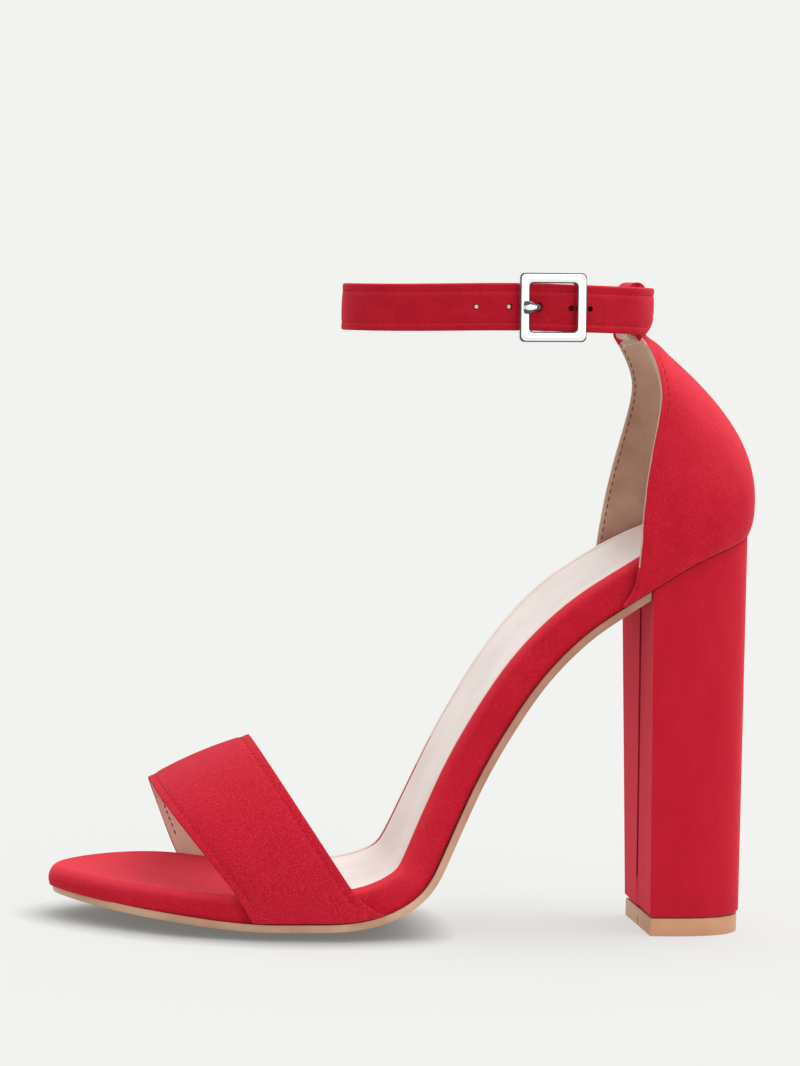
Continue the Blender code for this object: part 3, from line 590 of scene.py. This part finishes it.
def even(run, pitch):
    """Points, directions and normals at an even pitch along a run."""
    points = np.array([point for point, _ in run])
    normals = np.array([normal for _, normal in run])
    length = np.concatenate([[0.0], np.cumsum(np.linalg.norm(np.diff(points, axis=0), axis=1))])
    at = np.arange(pitch / 2, length[-1], pitch)
    place = np.stack([np.interp(at, length, points[:, k]) for k in range(3)], -1)
    before = np.stack([np.interp(at - pitch / 3, length, points[:, k]) for k in range(3)], -1)
    after = np.stack([np.interp(at + pitch / 3, length, points[:, k]) for k in range(3)], -1)
    normal = np.stack([np.interp(at, length, normals[:, k]) for k in range(3)], -1)
    normal /= np.linalg.norm(normal, axis=1)[:, None]
    ahead = after - before
    ahead -= normal * np.sum(ahead * normal, axis=1)[:, None]
    ahead /= np.linalg.norm(ahead, axis=1)[:, None]
    return place, ahead, normal


def press(piece, runs, reach, depth):
    """Presses a soft groove into a piece along runs of points."""
    dense = []
    for run in runs:
        place, _, normal = even(run, reach / 4)
        dense += list(zip(place, normal))
    line = finder([point for point, _ in dense])
    for vertex in piece.data.vertices:
        _, i, distance = line.find(vertex.co)
        normal = Vector(dense[i][1])
        if distance < reach and vertex.normal.dot(normal) > GROOVE_SIDE:
            vertex.co -= normal * depth * (1 - (distance / reach) ** 2) ** 2


def turn_edge(piece, raw, shows):
    """Turns the outer side over the cut edge, but for the places where the edge shows.

    There a raw line runs between two shares of the edge's width, counted from the inner side, and the lining
    is turned over what is left on its inner side.
    """
    bm = bmesh.new()
    bm.from_mesh(piece.data)
    borders = []
    for side in (OUTER, INNER):
        rim = [v.co for v in bm.verts if {face.material_index for face in v.link_faces} >= {side, EDGE}]
        borders.append(finder(rim))
    for face in bm.faces:
        if face.material_index == EDGE:
            centre = face.calc_center_median()
            to_outer, to_inner = (border.find(centre)[2] for border in borders)
            share = to_inner / (to_inner + to_outer)
            if share > raw[1] or not shows(centre):
                face.material_index = OUTER
            elif share < raw[0]:
                face.material_index = INNER
    bm.to_mesh(piece.data)
    bm.free()


def sew(name, runs, finish, lift=0.0):
    """One mesh of stitches along runs of points, each a small lens of thread."""
    bpy.ops.object.select_all(action="DESELECT")
    bpy.ops.mesh.primitive_uv_sphere_add(segments=6, ring_count=4, radius=0.5)
    lens = bpy.context.active_object
    corners = np.array([vertex.co for vertex in lens.data.vertices])
    corners = corners[:, [2, 0, 1]] * np.array(STITCH_SIZE)
    faces = [tuple(face.vertices) for face in lens.data.polygons]
    bpy.data.objects.remove(lens, do_unlink=True)
    points = []
    loops = []
    for run in runs:
        for place, ahead, normal in zip(*even(run, STITCH_PITCH)):
            axes = np.stack([ahead, np.cross(normal, ahead), normal])
            loops += [tuple(len(points) + k for k in face) for face in faces]
            points += list(corners @ axes + place + normal * lift)
    mesh = bpy.data.meshes.new(name)
    mesh.from_pydata([tuple(point) for point in points], [], loops)
    mesh.shade_smooth()
    mesh.materials.append(finish)
    piece = bpy.data.objects.new(name, mesh)
    bpy.context.scene.collection.objects.link(piece)
    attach(piece, "root")
    return piece


pale_lining = lining_leather("beige_lining_leather", "#D2B8A2", "#DFCABA", 0.55)
# The red and brown threads are drawn darker than thread alone: thread colour with painted shade of the
# grooves
# and holes they sit in.
red_thread_and_shade = close_fibres("red_thread_and_shade", "#9C1224", "#B4182B")
cream_thread = close_fibres("cream_thread", "#CDB59C", "#F0E4D4")
brown_thread_and_shade = close_fibres("brown_thread_and_shade", "#6E4A3A", "#94705C")

toe_suede = red_suede("red_suede_toe", (1.0, 1.0, 1.0), "#BE1B2E", "#A51024", "#D73045", 0.9, 0.0, 2400.0)
toe_strap = copy_of("toe_strap", "toe_strap_suede")
label_walls(toe_strap, lambda centre: centre.z)
crease_sharp(toe_strap, WALL_CORNER, SOFT_CREASE)
subdivide(toe_strap, TOE_LEVELS)
for finish in (toe_suede, pale_lining, cut_edge):
    toe_strap.data.materials.append(finish)
outer_runs = inset_line(toe_strap, OUTER, EDGE_INSET, lambda p: p.z > TOE_STITCH_LOW)
inner_runs = inset_line(toe_strap, INNER, TOE_LINING_INSET, lambda p: p.z > 2 * TOE_STITCH_LOW)
press(toe_strap, outer_runs, GROOVE_REACH, GROOVE_DEPTH)
turn_edge(toe_strap, TOE_RAW_SHARES, lambda p: p.z < TOE_RAW_TOP and p.x < TOE_RAW_FRONT and p.y > 0)
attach(toe_strap, "root")
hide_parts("toe_strap")
sew("toe_strap_stitches", outer_runs, red_thread_and_shade, -GROOVE_DEPTH)
sew("toe_lining_stitches", inner_runs, brown_thread_and_shade)

# Heel counter: a stiff suede back part with a tan lining, stitched along its wings. Its bottom is lasted
# under the footbed. Its suede top tab folds forward over the ankle strap and is sewn down inside, where the
# lining covers its end.
COUNTER_LEVELS = 2
LINING_MEET = Vector((22.2, 0.0, 174.9)) * MM
LINING_TILT = Vector((0.888, 0.0, 0.459))
LINING_INSET = 1.0 * MM
TOP_ROW_Y = (-15.0 * MM, -4.0 * MM)
TOP_ROW_Z = (174.5 * MM, 176.1 * MM)
TOP_ROW_POINTS = 12
AHEAD_OF_TAB = 40 * MM
COUNTER_STITCH_LOW = 104.0 * MM
COUNTER_STITCH_TOP = 174.0 * MM
RAW_EDGE_LOW = 109.0 * MM
COUNTER_RAW_SHARES = (0.7, 1.0)
FLAP_TOP = 178.2 * MM
FLAP_BACK_X = 18.8 * MM
FLAP_Y = (-10.5 * MM, 7.5 * MM)


def on_flap_end(point):
    """Whether a point is on the tab's folded end below the strap, which the lining covers."""
    return point.z < FLAP_TOP and point.x > FLAP_BACK_X and FLAP_Y[0] < point.y < FLAP_Y[1]


def under_tab(point):
    """Whether a point is below the slanting edge where the lining meets the suede tab."""
    return LINING_TILT.dot(point - LINING_MEET) < 0


tan_lining = lining_leather("tan_lining_leather", "#B48C74", "#CBA791", 0.5)
counter = copy_of("heel_counter", "heel_counter_suede")
label_walls(counter, lambda centre: -centre.x)
crease_sharp(counter, WALL_CORNER, SOFT_CREASE)
subdivide(counter, COUNTER_LEVELS)
for finish in (suede, tan_lining, cut_edge):
    counter.data.materials.append(finish)
outer_runs = inset_line(counter, OUTER, EDGE_INSET,
                        lambda p: COUNTER_STITCH_LOW < p.z < COUNTER_STITCH_TOP)
inner_runs = inset_line(counter, INNER, LINING_INSET,
                        lambda p: COUNTER_STITCH_LOW < p.z and under_tab(p))
press(counter, outer_runs, GROOVE_REACH, GROOVE_DEPTH)
turn_edge(counter, COUNTER_RAW_SHARES, lambda p: RAW_EDGE_LOW < p.z and under_tab(p))
top_row = []
row_y = np.linspace(*TOP_ROW_Y, TOP_ROW_POINTS)
row_z = np.linspace(*TOP_ROW_Z, TOP_ROW_POINTS)
for place_y, place_z in zip(row_y, row_z):
    start = Vector((AHEAD_OF_TAB, place_y, place_z))
    hit, point, normal, _ = counter.ray_cast(start, Vector((-1, 0, 0)))
    if hit:
        top_row.append((point, normal))
choose(counter)
bpy.ops.object.mode_set(mode="EDIT")
bpy.ops.mesh.select_all(action="SELECT")
bpy.ops.mesh.bisect(plane_co=LINING_MEET, plane_no=LINING_TILT)
bpy.ops.object.mode_set(mode="OBJECT")
for face in counter.data.polygons:
    faces_foot = face.center.z > COUNTER_STITCH_TOP and face.normal.x > 0
    if on_flap_end(face.center) and faces_foot:
        face.material_index = INNER
    elif not under_tab(face.center):
        face.material_index = OUTER
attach(counter, "root")
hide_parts("heel_counter")
sew("counter_stitches", outer_runs, red_thread_and_shade, -GROOVE_DEPTH)
sew("counter_lining_stitches", inner_runs, brown_thread_and_shade)
sew("counter_tab_stitches", [top_row], cream_thread)

# Ankle strap: a suede band on a pale lining, stitched along both edges and punched. One end is folded round
# the buckle's bar; the other goes round the ankle, over that bar, and lies outside over the counter's loop.
# Sizes here and in the buckle's section are in millimetres.
STRAP_THICK = 2.0
STRAP_HALF = 6.9
STRAP_BACK_X = 20.7
STRAP_FRONT_X = 107.8
STRAP_HALF_WIDTH = 27.5
STRAP_POINT = 0.07
STRAP_BACK_Z = 185.1
STRAP_DROP = 1.7
GAP = 0.3
STRAP_LAYER = STRAP_THICK + GAP
LOOP_OUT = 2.8
LOOP_HALF = 12.4
TAIL_OVER_LOOP = LOOP_OUT + GAP + STRAP_THICK / 2
TAIL_END = 4.0
TAIL_CUT_HEIGHT = 4.6
TAIL_CUT_LENGTH = 7.5
TAIL_RAMP = 26.0
TAIL_LIFTED = 1.46
LOOP_RAMP = 9.0
LOOP_LIFTED = 1.33
STRAP_STEP = 1.2
STRAP_EDGE = 0.6
STRAP_SHARP = 40
OVAL_POINTS = 1441
FOLD_LENGTH = 14.0
FOLD_RISE = 11.0
FOLD_RAMP = 8.0
FOLD_NEAR = 1.5
FOLD_POINTS = 12
TURN_POINTS = 14
BUCKLE_X = 51.7
BAR_RADIUS = 1.0
FOLD_RADIUS = BAR_RADIUS + GAP + STRAP_THICK / 2
PRONG_AHEAD = 3.6
FREE_HOLES_AHEAD = (21.0, 11.8)
COVERED_HOLES_AHEAD = (PRONG_AHEAD, -5.8, -11.7)
HOLE_RADIUS = 0.85
PRONG_HOLE_RADIUS = 1.35
LINING_HOLE = 0.6
DRILL_IN = -2.0
DRILL_OUT = 6.0
STITCH_INSET = 2.3
STITCH_UP = STRAP_HALF - STITCH_INSET
STITCH_SUNK = 0.2
STITCH_FREE_RINGS = 4
# The groove under the stitches and the crown between them: outward from the strap's face, and up.
STRAP_GROOVE = ((0.0, 0.7), (-0.12, 0.35), (-0.22, 0.0), (-0.12, -0.35), (0.0, -0.7))
STRAP_CROWN = ((0.08, 2.2), (0.1, 0.0))

angle = np.linspace(-np.pi, np.pi, OVAL_POINTS)
strap_x = (STRAP_BACK_X + STRAP_FRONT_X) / 2 - (STRAP_FRONT_X - STRAP_BACK_X) / 2 * np.cos(angle)
strap_y = STRAP_HALF_WIDTH * np.sin(angle) * (1 + STRAP_POINT * np.cos(angle))
strap_run = np.concatenate([[0.0], np.cumsum(np.hypot(np.diff(strap_x), np.diff(strap_y)))])
strap_run -= strap_run[-1] / 2
STRAP_ROUND = 2 * strap_run[-1]


def ease(t):
    """Smooth step from 0 to 1."""
    t = np.clip(t, 0.0, 1.0)
    return t * t * (3 - 2 * t)


def strap_plan(run, out):
    """Plan point at a distance along the ankle's oval from the middle of its back, and outward from it."""
    wrapped = (np.asarray(run, float) - strap_run[0]) % STRAP_ROUND + strap_run[0]
    x, y = (np.interp(wrapped, strap_run, side) for side in (strap_x, strap_y))
    slope_x, slope_y = (np.interp(wrapped, strap_run, np.gradient(side, strap_run))
                        for side in (strap_x, strap_y))
    size = np.hypot(slope_x, slope_y)
    return np.stack([x - slope_y / size * out, y + slope_x / size * out], -1)


def strap_height(x):
    """Height of the strap's middle line."""
    return STRAP_BACK_Z - STRAP_DROP * ease((x - BUCKLE_X) / (STRAP_FRONT_X - BUCKLE_X))


def tail_out(behind):
    """How far the tail is lifted outward, at a distance behind the buckle's middle."""
    return STRAP_LAYER * ease(TAIL_LIFTED + behind / TAIL_RAMP)


lateral = strap_run > 0
BUCKLE_RUN = float(np.interp(BUCKLE_X, strap_x[lateral], strap_run[lateral]))
fold = np.linspace(-np.pi / 2, np.pi / 2, TURN_POINTS)
back = np.linspace(-FOLD_LENGTH, -FOLD_NEAR, FOLD_POINTS)
inside = np.stack([BUCKLE_RUN + back, -STRAP_LAYER - FOLD_RADIUS * ease((back + FOLD_RISE) / FOLD_RAMP)], -1)
turn = np.stack([BUCKLE_RUN + FOLD_RADIUS * np.cos(fold), -STRAP_LAYER + FOLD_RADIUS * np.sin(fold)], -1)
around = np.arange(BUCKLE_RUN - FOLD_NEAR, TAIL_END - STRAP_ROUND, -STRAP_STEP)
around[-1] = TAIL_END - STRAP_ROUND
out = tail_out(BUCKLE_RUN - STRAP_ROUND - around)
lift = ease(LOOP_LIFTED + (LOOP_HALF - STRAP_ROUND - around) / LOOP_RAMP)
out += (TAIL_OVER_LOOP - STRAP_LAYER) * lift
route = np.concatenate([inside, turn, np.stack([around, out], -1)])
plan = strap_plan(route[:, 0], route[:, 1])
ahead = np.gradient(plan, axis=0)
ahead /= np.linalg.norm(ahead, axis=1)[:, None]
outward = np.stack([ahead[:, 1], -ahead[:, 0]], -1)

half = STRAP_THICK / 2
corner = [(half - STRAP_EDGE + STRAP_EDGE * math.sin(a), STRAP_HALF - STRAP_EDGE + STRAP_EDGE * math.cos(a))
          for a in np.radians((0, 30, 60, 90))]
groove = [(half + out, STITCH_UP + up) for out, up in STRAP_GROOVE]
crown = [(half + out, up) for out, up in STRAP_CROWN]
quarter = corner + groove + crown
outer_side = quarter + [(o, -u) for o, u in quarter[-2::-1]]
section = np.array(outer_side + [(-o, u) for o, u in outer_side[::-1]])
# The lining's faces, from one rounded corner of the inner side to the other.
LINING_FIRST = len(outer_side) + 2
LINING_LAST = 2 * len(outer_side) - 4

rings = []
for i, (point, side) in enumerate(zip(plan, outward)):
    cut = TAIL_CUT_HEIGHT * max(0.0, 1 - (route[i, 0] - route[-1, 0]) / TAIL_CUT_LENGTH)
    up = np.where(section[:, 1] < 0, section[:, 1] * (STRAP_HALF - cut) / STRAP_HALF, section[:, 1])
    ring = point + side * section[:, :1]
    rings.append(np.column_stack([ring, strap_height(point[0]) + up]) * MM)


def ring_mesh(name, rings, closed, listed=(), shaded=0):
    """Tube of rings of points; the listed faces, and all of the first rings, take the second material."""
    count = len(rings[0])
    loops = []
    marks = []
    for i in range(len(rings) if closed else len(rings) - 1):
        j = (i + 1) % len(rings)
        for k in range(count):
            after = (k + 1) % count
            loops.append((i * count + k, i * count + after, j * count + after, j * count + k))
            marks.append(1 if k in listed or i < shaded else 0)
    if not closed:
        first = tuple(range(count))
        last = tuple(range(len(rings) * count - 1, (len(rings) - 1) * count - 1, -1))
        loops += [first, last]
        marks += [0, 0]
    mesh = bpy.data.meshes.new(name)
    mesh.from_pydata([tuple(point) for ring in rings for point in ring], [], loops)
    mesh.polygons.foreach_set("material_index", marks)
    piece = bpy.data.objects.new(name, mesh)
    bpy.context.scene.collection.objects.link(piece)
    choose(piece)
    bpy.ops.object.mode_set(mode="EDIT")
    bpy.ops.mesh.select_all(action="SELECT")
    bpy.ops.mesh.normals_make_consistent(inside=False)
    bpy.ops.object.mode_set(mode="OBJECT")
    mesh.shade_smooth()
    return piece


strap = ring_mesh("ankle_strap_suede", rings, False, range(LINING_FIRST, LINING_LAST + 1))
# Hole walls: a near-black red, painted shade for the recess of each hole.
hole_wall_shade = close_fibres("hole_wall_painted_shade", "#3C0710", "#5A0C18")
strap_suede = red_suede("red_suede_strap", (1.0, 1.0, 1.0), "#AD1526", "#9E1021", "#BA1D2F", 0.5)
for finish in (strap_suede, pale_lining):
    strap.data.materials.append(finish)


def strap_point(run, out, up):
    """World point from a distance along the ankle's oval, outward and up from the strap's middle line."""
    x, y = strap_plan(run, out)
    return Vector((x, y, strap_height(x) + up)) * MM


def drill(piece, start, end, radius):
    """Cuts a round hole between two points; its wall is painted dark, as painted shade in the hole."""
    bpy.ops.object.select_all(action="DESELECT")
    bpy.ops.mesh.primitive_cylinder_add(vertices=24, radius=radius * MM, depth=(end - start).length,
                                        location=(start + end) / 2)
    bit = bpy.context.active_object
    bit.rotation_euler = (end - start).to_track_quat("Z", "Y").to_euler()
    bpy.ops.object.transform_apply(location=True, rotation=True, scale=True)
    bit.data.materials.append(hole_wall_shade)
    finish_with(piece, "BOOLEAN", operation="DIFFERENCE", object=bit, solver="EXACT",
                material_mode="TRANSFER")
    bpy.data.objects.remove(bit, do_unlink=True)


# A free hole is narrower through the lining. A covered one goes through the tail alone.
for place in FREE_HOLES_AHEAD + COVERED_HOLES_AHEAD:
    inner = float(tail_out(-place)) if place in FREE_HOLES_AHEAD else STRAP_THICK / 2 + GAP / 2
    radius = PRONG_HOLE_RADIUS if place == PRONG_AHEAD else HOLE_RADIUS
    run = BUCKLE_RUN + place
    drill(strap, strap_point(run, inner, 0.0), strap_point(run, DRILL_OUT, 0.0), radius)
for place in FREE_HOLES_AHEAD:
    run = BUCKLE_RUN + place
    drill(strap, strap_point(run, DRILL_IN, 0.0), strap_point(run, DRILL_OUT, 0.0), LINING_HOLE)
strap.data.shade_smooth()
strap.data.set_sharp_from_angle(angle=math.radians(STRAP_SHARP))
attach(strap, "root")
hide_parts("ankle_strap")

main = np.arange(len(inside) + len(turn) + STITCH_FREE_RINGS, len(plan) - STITCH_FREE_RINGS)
for name, face_out, finish, slot in (
    ("ankle_strap_stitches", half - STITCH_SUNK, red_thread_and_shade, "red_suede"),
    ("strap_lining_stitches", -half + STITCH_SUNK, cream_thread, "pale_sock"),
):
    runs = []
    for up in (STITCH_UP, -STITCH_UP):
        runs.append([(Vector((*(plan[i] + outward[i] * face_out), strap_height(plan[i][0]) + up)) * MM,
                      Vector((*(outward[i] * math.copysign(1, face_out)), 0.0))) for i in main])
    sew(name, runs, finish)

# Buckle: a square die-cast frame, polished and plated, with a wire bar behind it that holds the strap's fold
# and the prong. The prong comes up through the strap's hole and rests on the frame.
FRAME_WIDTH = 20.4
FRAME_HEIGHT = 20.0
FRAME_BAR = 3.0
FRAME_THICK = 2.0
FRAME_OUTER_CORNER = 1.5
FRAME_INNER_CORNER = 1.4
FRAME_EDGE = 0.4
FRAME_TILT = math.radians(1.6)
FRAME_OUT = STRAP_LAYER + STRAP_THICK / 2 + GAP + FRAME_THICK / 2
FRAME_SHARP = 40
# Faces of the frame's profile in the dark chrome: a painted reflection of shade on its edges.
FRAME_SHADED_FACES = (0, 1, 3, 4)
CORNER_RINGS = 9
BAR_BEND = 1.2
BAR_CORNER = 0.35
UPRIGHT = 0.8
HOOK_TURN = (-90, 40)
HOOK_POINTS = 9
PRONG_RADIUS = 1.0
# Faces of the prong in the dark chrome as painted shade, but for a pale stripe along its front and back.
PRONG_SHADED_FACES = (13, 14, 15, 0, 1, 2, 5, 6, 7, 8, 9, 10)
# The prong's rise, ahead of its hole's middle and outward; then its bend, ahead and inward from its rest.
PRONG_RISE = ((0.1, 0.2), (0.2, STRAP_LAYER + 0.2))
PRONG_BEND = ((0.5, 1.8), (1.0, 0.9), (1.6, 0.25), (2.5, 0.0))
# The prong's flattened tip: distance ahead, half its width and half its thickness.
PRONG_TIP = ((6.6, 1.4, 0.95), (7.0, 1.8, 0.9), (7.8, 2.0, 0.9), (8.5, 1.9, 0.8), (8.9, 1.5, 0.65),
             (9.15, 0.9, 0.4), (9.2, 0.3, 0.15))


def chrome_plate(name, tint, smooth, dull):
    """Chrome plate on polished zinc: a mirror of a given tint, with a slight haze of about 3 mm."""
    made, tree = new_material(name)
    place = add(tree, "ShaderNodeTexCoord")
    haze = add(tree, "ShaderNodeTexNoise", {"Scale": 300.0, "Detail": 3.0},
               {"Vector": place.outputs["Object"]})
    rough = add(tree, "ShaderNodeMapRange", {3: smooth, 4: dull}, {0: haze.outputs[0]})
    shader = add(tree, "ShaderNodeBsdfPrincipled", {"Base Color": colour(tint), "Metallic": 1.0},
                 {"Roughness": rough.outputs[0]})
    add(tree, "ShaderNodeOutputMaterial", links={"Surface": shader.outputs[0]})
    return made


# The plate's edges are painted darker and duller than its flats, as a painted reflection of the shade they
# face.
chrome = chrome_plate("chrome_plate", "#FCFCFC", 0.05, 0.14)
chrome_edge = chrome_plate("chrome_edge_in_shade", "#5E5E62", 0.12, 0.25)


def buckle_point(ahead, out, up):
    """World point from the tilted buckle's own directions: ahead to the toe, outward and up."""
    base = strap_plan(BUCKLE_RUN, 0.0)
    away = strap_plan(BUCKLE_RUN, 1.0) - base
    level_ahead = ahead * math.cos(FRAME_TILT) + up * math.sin(FRAME_TILT)
    level_up = up * math.cos(FRAME_TILT) - ahead * math.sin(FRAME_TILT)
    x, y = base + np.array([away[1], -away[0]]) * level_ahead + away * out
    return Vector((x, y, strap_height(BUCKLE_X) + level_up)) * MM


def tube_rings(points, radii, sides=16):
    """Rings round a line of points, each with its two radii across the line."""
    rings = []
    up = (buckle_point(0.0, 0.0, 1.0) - buckle_point(0.0, 0.0, 0.0)).normalized()
    for i, (point, (wide, thick)) in enumerate(zip(points, radii)):
        ahead = (points[min(i + 1, len(points) - 1)] - points[max(i - 1, 0)]).normalized()
        level = buckle_point(1.0, 0.0, 0.0) - buckle_point(0.0, 0.0, 0.0)
        across = up if abs(ahead.dot(up)) < UPRIGHT else level
        across = (across - ahead * across.dot(ahead)).normalized()
        normal = ahead.cross(across)
        rings.append([point + across * (wide * MM * math.cos(a)) + normal * (thick * MM * math.sin(a))
                      for a in np.linspace(0, 2 * np.pi, sides, endpoint=False)])
    return rings


wide = FRAME_BAR / 2
thick = FRAME_THICK / 2
profile = []
for sign_w, sign_t, first in ((1, 1, 0), (-1, 1, 90), (-1, -1, 180), (1, -1, 270)):
    for a in np.radians(first + np.array((0, 45, 90))):
        profile.append((sign_w * (wide - FRAME_EDGE) + FRAME_EDGE * math.cos(a),
                        sign_t * (thick - FRAME_EDGE) + FRAME_EDGE * math.sin(a)))
rings = []
for number, (sign_a, sign_u) in enumerate(((1, 1), (-1, 1), (-1, -1), (1, -1))):
    for a in np.radians(90 * number + np.linspace(0, 90, CORNER_RINGS)):
        ring = []
        for w, t in profile:
            inward = 0.5 - w / FRAME_BAR
            radius = FRAME_OUTER_CORNER + (FRAME_INNER_CORNER - FRAME_OUTER_CORNER) * inward
            ring.append(buckle_point(
                sign_a * ((FRAME_WIDTH - FRAME_BAR) / 2 + w - radius) + math.cos(a) * radius, FRAME_OUT + t,
                sign_u * ((FRAME_HEIGHT - FRAME_BAR) / 2 + w - radius) + math.sin(a) * radius))
        rings.append(ring)
buckle = ring_mesh("buckle_frame_chrome", rings, True, FRAME_SHADED_FACES)
buckle.data.materials.append(chrome)
buckle.data.materials.append(chrome_edge)
reach = (FRAME_HEIGHT - FRAME_BAR) / 2
half_line = [(FRAME_OUT, reach), (-STRAP_LAYER + BAR_BEND, reach),
             (-STRAP_LAYER + BAR_CORNER, reach - BAR_CORNER), (-STRAP_LAYER, reach - BAR_BEND)]
bar_line = half_line + [(o, -u) for o, u in half_line[::-1]]
bar = ring_mesh("buckle_bar_chrome", tube_rings([buckle_point(0.0, o, u) for o, u in bar_line],
                                                [(BAR_RADIUS, BAR_RADIUS)] * len(bar_line)), False)
bar.data.materials.append(chrome)
finish_with(buckle, "BOOLEAN", operation="UNION", object=bar, solver="EXACT")
bpy.data.objects.remove(bar, do_unlink=True)
buckle.data.shade_smooth()
buckle.data.set_sharp_from_angle(angle=math.radians(FRAME_SHARP))
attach(buckle, "root")
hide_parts("buckle_frame")

hook = BAR_RADIUS + GAP + PRONG_RADIUS
rest = FRAME_OUT + FRAME_THICK / 2 + GAP + PRONG_RADIUS
line = [(hook * math.cos(a), -STRAP_LAYER + hook * math.sin(a))
        for a in np.radians(np.linspace(*HOOK_TURN, HOOK_POINTS))]
line += [(PRONG_AHEAD + ahead, out) for ahead, out in PRONG_RISE]
line += [(PRONG_AHEAD + ahead, rest - below) for ahead, below in PRONG_BEND]
radii = [(PRONG_RADIUS, PRONG_RADIUS)] * len(line)
# The prong's rising part is all in the dark chrome, as painted shade.
shaded = len(line) - 1
line += [(ahead, rest) for ahead, _, _ in PRONG_TIP]
radii += [(wide, thick) for _, wide, thick in PRONG_TIP]
prong_rings = tube_rings([buckle_point(a, o, 0.0) for a, o in line], radii)
prong = ring_mesh("buckle_prong_chrome", prong_rings, False, PRONG_SHADED_FACES, shaded)
prong.data.materials.append(chrome)
prong.data.materials.append(chrome_edge)
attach(prong, "root")
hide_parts("buckle_prong")
